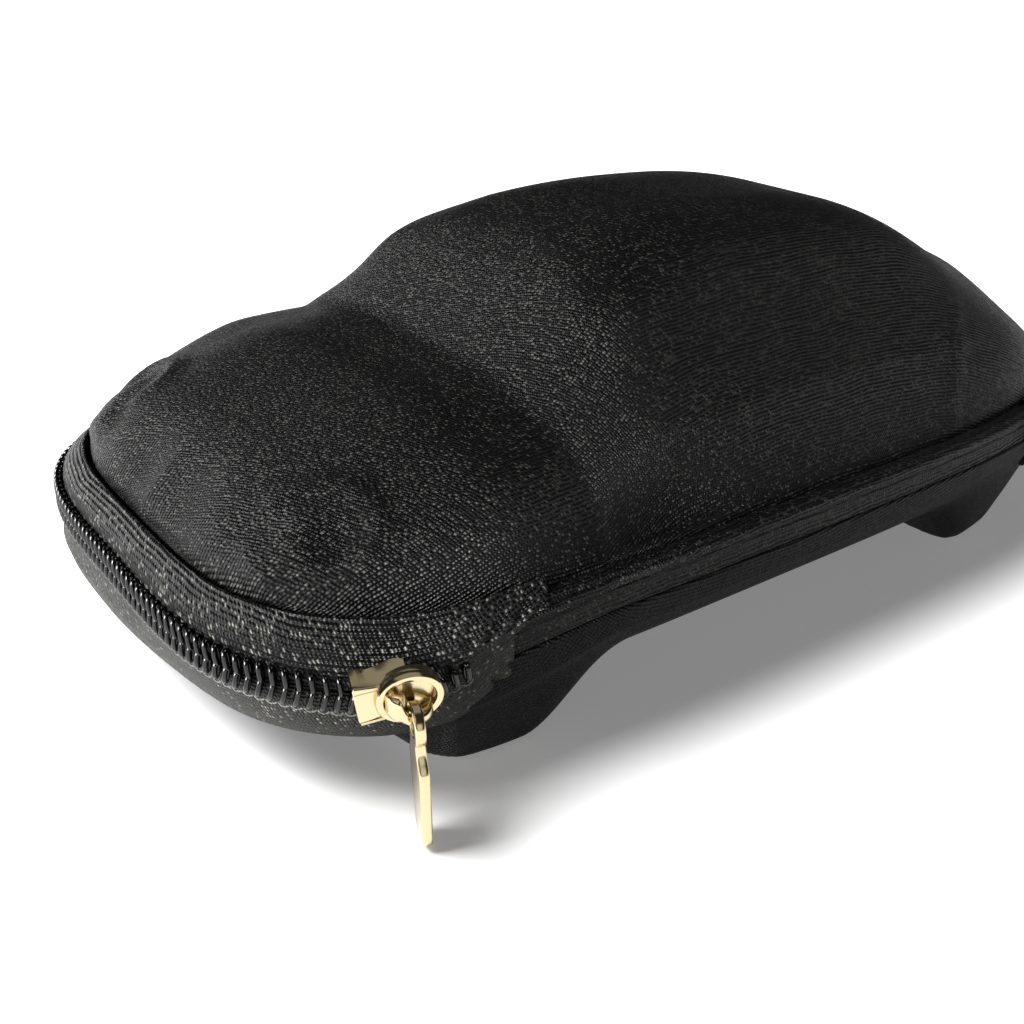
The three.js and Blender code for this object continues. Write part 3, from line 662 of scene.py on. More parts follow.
def uneven_gloss(tree, shader, scale, roughness, strength, distance):
    """Fine waves over a hard surface: they vary its roughness between two values and lift it a little."""
    place = add_node(tree, "ShaderNodeTexCoord").outputs["Object"]
    noise = add_node(tree, "ShaderNodeTexNoise", {"Vector": place, "Scale": scale, "Detail": 2})
    waves = noise.outputs["Fac"]
    low, high = roughness
    rough = add_node(tree, "ShaderNodeMapRange", {"Value": waves, "To Min": low, "To Max": high})
    tree.links.new(rough.outputs["Result"], shader.inputs["Roughness"])
    bump = add_node(tree, "ShaderNodeBump", {"Height": waves, "Strength": strength, "Distance": distance})
    tree.links.new(bump.outputs["Normal"], shader.inputs["Normal"])


# %% [markdown]
# ## Coil nylon
# The coil is one nylon thread wound into loops and set by heat. It is solid black plastic, smooth and
# shiny, so it gets a low roughness and a faint waviness from the winding.

# %% Material: wound coil nylon
coil_nylon, tree, shader = new_material("wound_coil_nylon", {
    "Base Color": linear("020203"), "IOR": 1.53, "Specular IOR Level": 0.4,
})
uneven_gloss(tree, shader, 900, (0.12, 0.3), 0.25, 0.0001)
print("material:", coil_nylon.name)

# %% [markdown]
# ## Coil loops
# Some 460 loops sit side by side, each row's heads between those of the other row. A node tree copies one
# loop along a line at the coil's pitch. The upper row starts half a pitch later than the lower.

# %% One loop of the coil
PITCH = 1.5
LOOP_RADIUS = 0.34
LOOP_SIDES, LOOP_STEPS = 6, 12
HEAD_OVERREACH = 0.28
LOOP_LEAN, LOOP_TWIST = 0.2, 0.12


def tube_mesh(name, path, radius, sides, closed):
    """Tube through a few points, in millimetres about the origin."""
    path = np.asarray(path, float)
    before, after = np.roll(path, 1, axis=0), np.roll(path, -1, axis=0)
    if not closed:
        before[0], after[-1] = path[0], path[-1]
    way = after - before
    way /= np.linalg.norm(way, axis=1, keepdims=True)
    normal = np.cross(way, [1, 0, 0])
    normal /= np.linalg.norm(normal, axis=1, keepdims=True)
    binormal = np.cross(way, normal)
    angle = 2 * np.pi * np.arange(sides) / sides
    ring = np.cos(angle)[None, :, None] * normal[:, None] + np.sin(angle)[None, :, None] * binormal[:, None]
    points = (path[:, None] + radius * ring).reshape(-1, 3)
    faces = ring_faces(len(path), sides, joined=True) if closed else capped_faces(len(path), sides)
    mesh = bpy.data.meshes.new(name)
    mesh.from_pydata((points * MM).tolist(), [], faces)
    mesh.shade_smooth()
    return mesh


def loop_path(way):
    """Closed path of a loop: its root at one end, its head at the other, leaning along the zip."""
    angle = 2 * np.pi * np.arange(LOOP_STEPS) / LOOP_STEPS
    reach = np.sign(np.cos(angle)) * np.abs(np.cos(angle)) ** 0.75
    up = reach * (COIL_HEIGHT / 2 - LOOP_RADIUS + HEAD_OVERREACH) + HEAD_OVERREACH
    out = np.sin(angle) * (COIL_DEPTH / 2 - LOOP_RADIUS)
    along = LOOP_LEAN * reach + LOOP_TWIST * np.sin(angle)
    return np.stack([along, -way * up, out], -1)


# %% A node tree: copies along a line
def copies_tree(name):
    """Copies of one object along a line, turned with it."""
    tree = bpy.data.node_groups.new(name, "GeometryNodeTree")
    sockets = tree.interface
    kinds = {"Line": "Geometry", "Pitch": "Float", "Copied piece": "Object", "Finish": "Material"}
    for title, kind in kinds.items():
        sockets.new_socket(title, in_out="INPUT", socket_type="NodeSocket" + kind)
    sockets.new_socket("Copies", in_out="OUTPUT", socket_type="NodeSocketGeometry")
    given = add_node(tree, "NodeGroupInput")
    curve = add_node(tree, "GeometryNodeMeshToCurve", {"Mesh": given.outputs["Line"]})
    even = add_node(tree, "GeometryNodeResampleCurve", {
        "Curve": curve.outputs["Curve"], "Length": given.outputs["Pitch"]}, mode="LENGTH")
    tangent = add_node(tree, "GeometryNodeInputTangent")
    facing = add_node(tree, "FunctionNodeAlignEulerToVector", {
        "Vector": tangent.outputs["Tangent"]}, axis="X")
    upright = add_node(tree, "FunctionNodeAlignEulerToVector", {
        "Rotation": facing.outputs["Rotation"], "Vector": (0, 0, 1)}, axis="Y", pivot_axis="X")
    copied = add_node(tree, "GeometryNodeObjectInfo", {"Object": given.outputs["Copied piece"]})
    copies = add_node(tree, "GeometryNodeInstanceOnPoints", {
        "Points": even.outputs["Curve"], "Instance": copied.outputs["Geometry"],
        "Rotation": upright.outputs["Rotation"]})
    real = add_node(tree, "GeometryNodeRealizeInstances", {"Geometry": copies.outputs["Instances"]})
    finish = add_node(tree, "GeometryNodeSetMaterial", {
        "Geometry": real.outputs["Geometry"], "Material": given.outputs["Finish"]})
    add_node(tree, "NodeGroupOutput", {"Copies": finish.outputs["Geometry"]})
    return tree


def copies_along(name, line, piece_mesh, pitch, finish):
    """Plain mesh of copies along a line of points in millimetres."""
    path = bpy.data.meshes.new(name)
    scene_line = (np.asarray(line) + WIDEST_POINT) * MM
    path.from_pydata(scene_line.tolist(), [(at, at + 1) for at in range(len(line) - 1)], [])
    copied = add_object(name + "_one", piece_mesh)
    source = add_object(name, path)
    modifier = source.modifiers.new("copies", "NODES")
    modifier.node_group = COPIES
    values = {"Pitch": pitch * MM, "Copied piece": copied, "Finish": finish}
    for item in COPIES.interface.items_tree:
        if item.in_out == "INPUT" and item.name in values:
            modifier[item.identifier] = values[item.name]
    bpy.context.view_layer.update()
    evaluated = source.evaluated_get(bpy.context.evaluated_depsgraph_get())
    mesh = bpy.data.meshes.new_from_object(evaluated)
    source.modifiers.remove(modifier)
    source.data = mesh
    bpy.data.objects.remove(copied)
    print(name, "has", len(mesh.polygons), "faces")
    return source


COPIES = copies_tree("copies_along_a_line")

# %% Coil rows
COIL_END = {1: -49.5, -1: -45.8}
COIL_SEATING = 0.45
COIL_STATIONS = 1600


def coil_line(way):
    """Middle line of one row. Beyond the slider the rows part and lift off the tape."""
    place, width, _ = zip_line(COIL_STATIONS, COIL_END[way])
    rim, seam = rim_and_seam(place, width)
    near = (width < 0) & (rim[:, 0] < 0)
    opened = (rim[:, 0] - OPENING["from"]) / (COIL_END[-1] - OPENING["from"])
    parted = np.where(near, smooth(opened), 0)
    middle = (COIL_INNER + COIL_OUTER) / 2 - COIL_SEATING
    line = rim_at(place, width, 1, -middle, 0)
    if way > 0:
        line += (rim - line) * (parted * OPENING["inwards"] / middle)[:, None]
    apart = way * (COIL_GAP / 2 + COIL_HEIGHT / 2 + OPENING["lift"] * parted)
    line[:, 2] = seam + apart + OPENING["rise"] * parted
    return line


upper_loop = tube_mesh("upper_loop", loop_path(1), LOOP_RADIUS, LOOP_SIDES, True)
lower_loop = tube_mesh("lower_loop", loop_path(-1), LOOP_RADIUS, LOOP_SIDES, True)
upper_line = coil_line(1)
upper_line = upper_line[np.searchsorted(run_along(upper_line), PITCH / 2):]
upper_coil = copies_along("coil_upper", upper_line, upper_loop, PITCH, coil_nylon)
lower_coil = copies_along("coil_lower", coil_line(-1), lower_loop, PITCH, coil_nylon)

# %% [markdown]
# ## Stitches
# A light thread ties each loop to its tape, and shows as a scallop under every loop of the lower row.

# %% Stitches along the coil
THREAD, THREAD_SIDES = 0.1, 5
SCALLOP_DEPTH, SCALLOP_STANDS_OUT = 0.32, 0.12

span = np.linspace(-1, 1, 7)
curve = 1 - span**2
scallop = np.stack([span * PITCH / 2, -SCALLOP_DEPTH * curve, SCALLOP_STANDS_OUT * curve], -1)
stitch_mesh = tube_mesh("scallop", scallop, THREAD, THREAD_SIDES, False)
stitch_line = coil_line(-1)
stitch_line[:, 2] -= COIL_HEIGHT / 2 - THREAD
sewing_thread, tree, shader = new_material("twisted_polyester_thread", {
    "Roughness": 0.5, "Sheen Weight": 0.3,
})
thread_place = add_node(tree, "ShaderNodeTexCoord").outputs["Object"]
twist = add_node(tree, "ShaderNodeTexNoise", {"Vector": thread_place, "Scale": 1500, "Detail": 1})
tint = add_node(tree, "ShaderNodeMix", {
    "Factor": twist.outputs["Fac"], "A": linear("141413"), "B": linear("5c5c57")}, data_type="RGBA")
tree.links.new(tint.outputs["Result"], shader.inputs["Base Color"])
stitches = copies_along("coil_stitches", stitch_line, stitch_mesh, PITCH, sewing_thread)

# %% [markdown]
# ## The cloth hinge
# Along the left side a strip of the knitted cloth joins the two rims. It is drawn in slightly between
# them, so its section is a shallow hollow with both edges tucked behind the rims.

# %% Build the hinge
HINGE_STATIONS = 260
HINGE_ROWS = 12
HINGE_INSET, HINGE_HOLLOW, HINGE_THICKNESS = 0.12, 0.3, 1.2
HINGE_GAP = 0.5
HINGE_SEATING = 0.12
RIPPLE_HEIGHT, RIPPLE_TURNS, RIPPLE_SLANT = 0.05, 1.9, 2


def hinge_piece():
    place, width = even_stations(SIDE_STATIONS)
    x = place * end_length(place)
    chosen = (x > ZIP_START + HINGE_GAP) & (x < ZIP_END - HINGE_GAP)
    place, width = place[chosen], width[chosen]
    pick = np.linspace(0, len(place) - 1, HINGE_STATIONS).astype(int)
    place, width = place[pick], -width[pick]
    rim, seam = rim_and_seam(place, width)
    level = np.linspace(-1, 1, HINGE_ROWS)[:, None]
    inset = HINGE_INSET + HINGE_THICKNESS / 2 + HINGE_HOLLOW * (1 - level**2) + 0 * seam
    ripple = RIPPLE_HEIGHT * np.sin(rim[:, 0] * RIPPLE_TURNS + RIPPLE_SLANT * level) * (1 - level**2)
    line = np.stack([-inset + ripple, seam + level * (SEAM_GAP / 2 - HINGE_SEATING)], -1)
    return strip_piece("hinge_cloth", place, width, flat_section(line, HINGE_THICKNESS), rim[:, 0])


hinge = hinge_piece()

# %% [markdown]
# ## The slider's own axes
# The slider is cast metal. It is drawn in its own axes, x along the zip away from the nose, y up and z
# out of the case, and then set on the coil by one matrix. The pull hangs in its bridge.

# %% Axes of the slider and the pull
PLATE_LOW, PLATE_HIGH = 0.35, 1.65
BAR_ABOVE_PLATE = 2.5
BAR_OUT = PLATE_HIGH + BAR_ABOVE_PLATE + CLEARANCE
PULL_LENGTH = 16.2
PULL_FLOOR_GAP = 0.3


def coil_face(x):
    """Point on the coil's outer face beside the hinge, at a distance along the car."""
    place = np.array([x / NOSE_LENGTH])
    width = -((1 - np.abs(place) ** NOSE_ROUNDNESS) ** (1 / NOSE_ROUNDNESS))
    height = rim_and_seam(place, width)[1]
    return Vector(rim_at(place, width, 1, -COIL_OUTER, height)[0])


slider_x = (coil_face(SLIDER_PLACE + 2) - coil_face(SLIDER_PLACE - 2)).normalized()
slider_out = slider_x.cross(Vector((0, 0, 1))).normalized()
slider_up = slider_out.cross(slider_x)
slider_spot = coil_face(SLIDER_PLACE)
pull_spot = slider_spot + slider_out * BAR_OUT
lean = math.acos(min(1, (pull_spot.z - PULL_FLOOR_GAP) / PULL_LENGTH))
pull_along = -slider_up * math.cos(lean) + slider_out * math.sin(lean)
pull_across = pull_along.cross(slider_x)


def axes_matrix(x, y, z, spot):
    turn = Matrix((x, y, z)).transposed().to_4x4()
    return Matrix.Scale(MM, 4) @ Matrix.Translation(Vector(WIDEST_POINT) + spot) @ turn


SLIDER_AXES = axes_matrix(slider_x, slider_up, slider_out, slider_spot)
PULL_AXES = axes_matrix(pull_across, pull_along, slider_x, pull_spot)
print("pivot of the pull, mm:", [round(side / MM, 2) for side in PULL_AXES.translation])

# %% [markdown]
# ## Cast plates
# A flat curve with an extrusion and a rounded bevel gives a cast plate at once, holes included. Its mesh
# is then moved into place. Bars and rims are swept in the same way as the tapes.

# %% Helpers for metal
METAL_EDGE_ANGLE = math.radians(35)
METAL_WELD_DISTANCE = 1e-4


def plate(outlines, low, high, edge):
    """Plate with rounded edges. The first outline is its outside and the others are holes."""
    curve = bpy.data.curves.new("outline", "CURVE")
    curve.dimensions = "2D"
    curve.fill_mode = "BOTH"
    curve.extrude = (high - low) / 2 - edge
    curve.bevel_depth = edge
    curve.bevel_resolution = 3
    for outline in outlines:
        spline = curve.splines.new("POLY")
        spline.points.add(len(outline) - 1)
        for point, spot in zip(spline.points, outline):
            point.co = (spot[0], spot[1], 0, 1)
        spline.use_cyclic_u = True
    holder = add_object("outline", curve)
    bpy.context.view_layer.update()
    mesh = bpy.data.meshes.new_from_object(holder.evaluated_get(bpy.context.evaluated_depsgraph_get()))
    mesh.transform(Matrix.Translation((0, 0, (low + high) / 2)))
    bpy.data.objects.remove(holder)
    return mesh


def solid_mesh(rings, joined=False):
    """Closed solid through rings: a bar with a face on each end, or a joined ring."""
    mesh = bpy.data.meshes.new("solid")
    faces = ring_faces(*rings.shape[:2], joined=True) if joined else capped_faces(*rings.shape[:2])
    mesh.from_pydata(rings.reshape(-1, 3).tolist(), [], faces)
    return mesh


def metal_piece(name, parts, axes):
    """One object from several meshes in the slider's or the pull's own axes."""
    mesh = bpy.data.meshes.new(name)
    weld(mesh, parts, METAL_WELD_DISTANCE)
    mesh.transform(axes)
    mesh.set_sharp_from_angle(angle=METAL_EDGE_ANGLE)
    print(name, "has", len(mesh.polygons), "faces")
    return add_object(name, mesh)


def arc(centre, radius, start, end, steps):
    """Points of an arc, from one angle to another in degrees."""
    angle = np.radians(np.linspace(start, end, steps))
    return np.stack([centre[0] + radius * np.cos(angle), centre[1] + radius * np.sin(angle)], -1)


def blunt(wave, power):
    """A sine or cosine flattened towards a square, for sections with soft corners."""
    return np.sign(wave) * np.abs(wave) ** power


# %% [markdown]
# ## The slider
# A flat plate with a square, flared tail and a round head carries a raised rim. Two flanges fold back over
# the coil, and a crowned bridge stands over the recess, with the pull's eye round it.

# %% The slider's plate and flanges
PLATE_EDGE = 0.2
HEAD_X, HEAD_RADIUS, HEAD_REACH = -0.1, 3.6, 128
TAIL_HALF, WAIST_HALF = 2.8, 2.35
TAIL_X, WAIST_X = -6.0, (-3.1, -3.9)
FLANGE_START, FLANGE_LENGTH, FLANGE_THICKNESS = -5.8, 6.0, 0.75
FLANGE_BACK, FLANGE_TOP, FLANGE_EDGE, FLANGE_WAVE = -1.2, 1.35, 4.0, 0.3


def slider_outline(inset):
    right = arc((HEAD_X, 0), HEAD_RADIUS - inset, -HEAD_REACH, HEAD_REACH, 41)
    left = np.array([
        [WAIST_X[0], WAIST_HALF - inset], [WAIST_X[1], WAIST_HALF + 0.1 - inset],
        [TAIL_X + 0.1 + inset, TAIL_HALF - inset], [TAIL_X + inset, TAIL_HALF - 0.2 - inset],
    ])
    return np.concatenate([right, left, (left * [1, -1])[::-1]])


def flange(way):
    """Side wall that folds back over one row of the coil, with a wavy edge."""
    rings = []
    for t in np.linspace(0, 1, 15):
        back = FLANGE_BACK + 0.4 * math.sin(2 * math.pi * t * 1.1)
        edge = FLANGE_EDGE + FLANGE_WAVE * (math.sin(2 * math.pi * (t * 1.3 + 0.05)) - t)
        fold = 3.3 + (edge - 3.3) * 0.6
        line = np.array([[2.45, FLANGE_TOP], [2.9, 1.2], [3.3, 0.6], [fold, -0.4], [edge, back]])
        section = flat_section(line[:, None, :], FLANGE_THICKNESS)[:, 0]
        along = np.full(len(section), FLANGE_START + FLANGE_LENGTH * t)
        rings.append(np.stack([along, way * section[:, 0], section[:, 1]], -1))
    return solid_mesh(np.array(rings))


plate_mesh = plate([slider_outline(PLATE_EDGE)], PLATE_LOW, PLATE_HIGH, PLATE_EDGE)
upper_flange, lower_flange = flange(1), flange(-1)
print("each flange has", len(upper_flange.polygons), "faces")

# %% The slider's rim and bridge
RIM_X, RIM_RADII = -0.2, (3.3, 3.1)
RIM_HALF_WIDTH, RIM_HALF_HEIGHT, RIM_RISE = 0.52, 0.85, 0.25
BRIDGE_X, BRIDGE_REACH, BRIDGE_CROWN = -0.4, 2.7, 0.3
BRIDGE_SIDE, BRIDGE_FOOT_SIDE = 0.5, 1.3
BODY_RISE, FLANGE_RISE, BODY_FLATTENING = 1.9, 1.3, 0.82
BODY_TILT = math.radians(6)


def rim_bar():
    """Raised rim round the recess, a rounded bar on the plate."""
    angle = np.linspace(0, 2 * np.pi, 57)[:-1]
    long, wide = RIM_RADII
    middle = np.stack([RIM_X + long * np.cos(angle), wide * np.sin(angle)], -1)
    outwards = np.stack([np.cos(angle) / long, np.sin(angle) / wide], -1)
    outwards /= np.linalg.norm(outwards, axis=1, keepdims=True)
    turn = np.linspace(0, 2 * np.pi, 13)[:-1]
    across = blunt(np.cos(turn), 0.6) * RIM_HALF_WIDTH
    up = blunt(np.sin(turn), 0.6) * RIM_HALF_HEIGHT + PLATE_HIGH + RIM_RISE
    flat = middle[:, None] + outwards[:, None] * across[None, :, None]
    rings = np.concatenate([flat, np.broadcast_to(up[None, :, None], flat.shape[:2] + (1,))], -1)
    return solid_mesh(rings, joined=True)


def bridge():
    """Crowned bridge over the recess: wide at its left foot, a slim bar where the eye goes round it."""
    rings = []
    low, high = PLATE_HIGH - 0.2, BAR_OUT + BRIDGE_CROWN
    turn = np.linspace(0, 2 * np.pi, 17)[:-1]
    for t in np.linspace(-1, 1, 33):
        height = low + (high - low) * (1 - abs(t) ** 3.2) ** 0.6
        thickness = 0.58 + 0.45 * abs(t) ** 3
        left = float(smooth((-t - 0.12) / 0.35))
        side = blunt(np.cos(turn), 0.7) * (0.6 + 0.95 * left * (1 - 0.3 * abs(t)))
        up = blunt(np.sin(turn), 0.8) * thickness
        along = np.full(len(turn), BRIDGE_X + BRIDGE_REACH * t)
        rings.append(np.stack([along, side + BRIDGE_SIDE + BRIDGE_FOOT_SIDE * left, height - 0.55 + up], -1))
    return solid_mesh(np.array(rings))


body_parts = (
    (plate_mesh, BODY_RISE),
    (upper_flange, FLANGE_RISE),
    (lower_flange, BODY_RISE),
    (rim_bar(), BODY_RISE),
)
for part, rise in body_parts:
    shape = Matrix.Rotation(BODY_TILT, 4, "Z") @ Matrix.Diagonal((1, BODY_FLATTENING, 1, 1))
    part.transform(Matrix.Translation((0, rise, 0)) @ shape)
slider = metal_piece("slider_body", [part for part, _ in body_parts] + [bridge()], SLIDER_AXES)

# %% [markdown]
# ## The pull
# A flat tapered tab with a round eye, stamped from 1.2 mm metal and tumbled until its edges are soft.

# %% Build the pull
PULL_EDGE, PULL_HALF_THICKNESS = 0.3, 0.6
EYE_RADIUS, EYE_HOLE, NECK_HALF = 2.5, 1.35, 1.6
SHOULDER_RUN, SHOULDER_HALF = 3.8, 3.0
TIP_RUN, TIP_HALF = 2.6, 2.3


def curved(start, first, second, end):
    """Points on a curve from start to end, drawn towards two handles."""
    t = np.linspace(0, 1, 9)[:, None]
    near = (1 - t) ** 3 * start + 3 * t * (1 - t) ** 2 * first
    return near + 3 * t**2 * (1 - t) * second + t**3 * end


def pull_outline():
    neck_angle = math.degrees(math.acos(NECK_HALF / EYE_RADIUS))
    neck_end = math.sqrt(EYE_RADIUS**2 - NECK_HALF**2)
    shoulder = neck_end + SHOULDER_RUN
    neck, side, tip = np.array([NECK_HALF, 0]), np.array([SHOULDER_HALF, 0]), np.array([TIP_HALF, 0])
    along = np.array([0, 1])
    bend = along * shoulder * 0.7
    shoulder_curve = curved(neck + along * neck_end, neck + bend, side + bend, side + along * shoulder)
    end = along * PULL_LENGTH
    tip_curve = curved(tip + end - along * TIP_RUN, tip + end - along * TIP_RUN * 0.24, tip * 0.6 + end, end)
    half = np.concatenate([shoulder_curve, tip_curve])
    eye = arc((0, 0), EYE_RADIUS, 180 - neck_angle, 360 + neck_angle, 33)[1:-1]
    return np.concatenate([half, (half * [-1, 1])[::-1][1:], eye])


outline = pull_outline()
way = np.roll(outline, -1, axis=0) - np.roll(outline, 1, axis=0)
way /= np.linalg.norm(way, axis=1, keepdims=True)
inner_outline = outline - np.stack([way[:, 1], -way[:, 0]], -1) * PULL_EDGE
hole = arc((0, 0), EYE_HOLE + PULL_EDGE, 0, 360, 29)[:-1][::-1]
pull_plate = plate([inner_outline, hole], -PULL_HALF_THICKNESS, PULL_HALF_THICKNESS, PULL_EDGE)
pull = metal_piece("pull_plate", [pull_plate], PULL_AXES)

# %% [markdown]
# ## Knitted polyester
# The cloth is a black warp knit. Fine ribs run along the car, and each rib is a row of slanted stitches.
# Filaments that lie just right catch the light as tiny glints: these are painted highlights, bright dots in
# the base colour. The gaps between the threads take a darker colour than the threads' tops, which is painted
# shade.
# Ribs, stitches and glints all read the cloth's map, so that they bend with it. A drawn cloth also drifts a
# little off its straight line. The ribs are 0.54 mm apart and the stitches 0.42 mm long, as on the real
# cloth.
# On the tray the knit has fewer and dimmer painted glints, so that it looks duller there: painted shade on
# the lower shell. On the hinge it has kept a coarser, browner face.

# %% Material: knitted polyester
def maths(tree, operation, *values):
    """Result of one sum between values and sockets."""
    return add_node(tree, "ShaderNodeMath", dict(enumerate(values)), operation=operation).outputs[0]


def knit_material(name, colours, painted_glint_share, rib, stitch, rib_depth, rough, specular, depth):
    """Cloth of ribs and stitches, in mm. Its colours: painted shade between the threads, the threads' tops,
    and painted highlights where they glint.
    """
    material, tree, shader = new_material(name, {"Specular IOR Level": specular})
    # The first colour is painted shade between the threads, the third is painted highlights where filaments
    # glint.
    painted_gap_shade, lit, glint = [linear(colour) for colour in colours]
    cloth = add_node(tree, "ShaderNodeUVMap", uv_map="cloth").outputs["UV"]
    parts = add_node(tree, "ShaderNodeSeparateXYZ", {"Vector": cloth})
    drift = add_node(tree, "ShaderNodeTexNoise", {"Vector": cloth, "Scale": 0.1, "Detail": 1})
    across = maths(tree, "MULTIPLY_ADD", drift.outputs["Fac"], 1.2, parts.outputs["Y"])
    along = maths(tree, "MULTIPLY_ADD", across, 0.5, parts.outputs["X"])
    rib_wave = maths(tree, "COSINE", maths(tree, "MULTIPLY", across, 2 * math.pi / rib))
    cell = add_node(tree, "ShaderNodeCombineXYZ", {
        "X": maths(tree, "DIVIDE", along, stitch), "Y": maths(tree, "DIVIDE", across, rib)})
    stitches = add_node(tree, "ShaderNodeTexVoronoi", {
        "Vector": cell.outputs["Vector"], "Scale": 1.0, "Randomness": 0.4}, voronoi_dimensions="2D")
    from_middle = stitches.outputs["Distance"]
    pick = add_node(tree, "ShaderNodeSeparateColor", {"Color": stitches.outputs["Color"]})
    patch = add_node(tree, "ShaderNodeTexNoise", {"Vector": cloth, "Scale": 0.09, "Detail": 4}).outputs["Fac"]
    bar = maths(tree, "MULTIPLY_ADD", patch, -0.6, 1.3 - painted_glint_share)
    chosen = add_node(tree, "ShaderNodeMapRange", {"Value": pick.outputs["Red"], "From Min": bar})
    dot = add_node(tree, "ShaderNodeMapRange", {
        "Value": from_middle, "From Min": 0.4, "From Max": 0.2}, interpolation_type="SMOOTHSTEP")
    # Painted highlights: in a share of the stitches a dot at the middle takes the glint colour.
    painted_glint_mask = maths(tree, "MULTIPLY", chosen.outputs["Result"], dot.outputs["Result"])
    top = add_node(tree, "ShaderNodeMapRange", {"Value": from_middle, "From Min": 0.6, "From Max": 0.1})
    # Painted shade: from each thread's top the colour darkens into the gaps.
    shade = maths(tree, "MULTIPLY", top.outputs["Result"], patch)
    body = add_node(tree, "ShaderNodeMix", {"Factor": shade, "A": painted_gap_shade, "B": lit}, data_type="RGBA")
    colour = add_node(tree, "ShaderNodeMix", {
        "Factor": painted_glint_mask, "A": body.outputs["Result"], "B": glint}, data_type="RGBA")
    tree.links.new(colour.outputs["Result"], shader.inputs["Base Color"])
    shine = add_node(tree, "ShaderNodeMapRange", {
        "Value": pick.outputs["Green"], "To Min": rough + 0.05, "To Max": rough - 0.07})
    tree.links.new(shine.outputs["Result"], shader.inputs["Roughness"])
    height = maths(tree, "MULTIPLY_ADD", rib_wave, rib_depth, top.outputs["Result"])
    uneven = maths(tree, "MULTIPLY_ADD", pick.outputs["Blue"], 0.3, height)
    bump = add_node(tree, "ShaderNodeBump", {"Height": uneven, "Strength": 1.0, "Distance": depth * MM})
    tree.links.new(bump.outputs["Normal"], shader.inputs["Normal"])
    print("material:", name)
    return material


knitted_cloth = knit_material(
    "warp_knitted_black_polyester", ("000000", "020202", "4a4945"),
    painted_glint_share=0.36, rib=0.54, stitch=0.42, rib_depth=0.5, rough=0.47, specular=0.18, depth=0.17)
# Painted shade on the tray: the same knit with fewer and dimmer painted glints.
shaded_tray_cloth = knit_material(
    "knitted_polyester_pressed_flat", ("010101", "040404", "1c1c1a"),
    painted_glint_share=0.12, rib=0.56, stitch=0.45, rib_depth=0.5, rough=0.55, specular=0.14, depth=0.18)
hinge_cloth = knit_material(
    "knitted_polyester_hinge", ("030302", "0b0a08", "3a3830"),
    painted_glint_share=0.2, rib=0.6, stitch=0.5, rib_depth=0.45, rough=0.55, specular=0.2, depth=0.15)

# %% [markdown]
# ## Woven tape
# The tapes are woven polyester, a little lighter and more olive than the knit; part of the lightness is their
# brighter painted glints. Their slanted threads lie in coarser rows, with more painted highlights in the base
# colour. The upper tape's rows are drawn 0.72 mm apart, slightly coarser than real, so that they don't vanish
# in a render. The lower tape lies flatter, and looks finer and smoother.

# %% Material: woven tape
# In both tapes the last colour is painted highlights where threads glint.
woven_tape = knit_material(
    "herringbone_woven_polyester", ("000000", "050505", "807e76"),
    painted_glint_share=0.34, rib=0.72, stitch=0.5, rib_depth=0.5, rough=0.46, specular=0.28, depth=0.24)
flank_tape = knit_material(
    "fine_woven_polyester_olive", ("080805", "171610", "6a675b"),
    painted_glint_share=0.14, rib=0.5, stitch=0.42, rib_depth=0.3, rough=0.55, specular=0.3, depth=0.12)

# %% [markdown]
# ## Pale gold plate
# The slider and the pull are cast zinc, polished and plated in pale gold. Plating keeps the metal's own
# reflection, so the colour is the metal's, the roughness is low, and small waves break the reflections.

# %% Material: plated metal
pale_gold, tree, shader = new_material("polished_zinc_plated_pale_gold", {
    "Base Color": linear("d3c29c"), "Metallic": 1.0,
})
uneven_gloss(tree, shader, 420, (0.1, 0.26), 0.15, 0.0002)
print("material:", pale_gold.name)

# %% Give each piece its material and its body, and hide the model's parts that it stands for
DRESS = (
    (lid, knitted_cloth, "case", "knitted_cloth", ("upper_shell",)),
    (tray, shaded_tray_cloth, "case", "knitted_cloth", ("lower_shell",)),
    (upper_tape, woven_tape, "case", "woven_tape", ("zip_tape_upper",)),
    (lower_tape, flank_tape, "case", "woven_tape", ("zip_tape_lower",)),
    (upper_coil, coil_nylon, "case", "coil_nylon", ("zip_coil_upper",)),
    (lower_coil, coil_nylon, "case", "coil_nylon", ("zip_coil_lower",)),
    (stitches, sewing_thread, "case", "woven_tape", ()),
    (hinge, hinge_cloth, "case", "knitted_cloth", ("hinge_strip",)),
    (slider, pale_gold, "case", "pale_gold_metal", ("zip_slider",)),
    (pull, pale_gold, "pull", "pale_gold_metal", ("pull_tab",)),
)
for piece, material, body, slot, nodes in DRESS:
    piece.data.materials.clear()
    piece.data.materials.append(material)
    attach(piece, body)
    if nodes:
        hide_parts(*nodes)
print("dressed pieces:", len(DRESS))

# %% [markdown]
# ## Camera, light and floor
# The camera stands close to the near front corner, a little above the roof, as the photograph was taken.
# The background is a white studio wall, dim to the pieces themselves. What lights them is a set of soft
# lamps: a low one from the front shows up the ribs, faint ones trace the edges, and the metal has its own
# cards, as a photographer would hold them. A lamp from the upper left and behind gives the floor its shadow.

# %% Camera
CAMERA_SPOT = Vector((-0.12404, -0.13007, 0.09308))
YAW, PITCH_DOWN, ROLL = 0.6653, 0.4701, 0.036
FOCAL_PIXELS, FRAME_PIXELS, SENSOR = 1176.1, 1024, 36

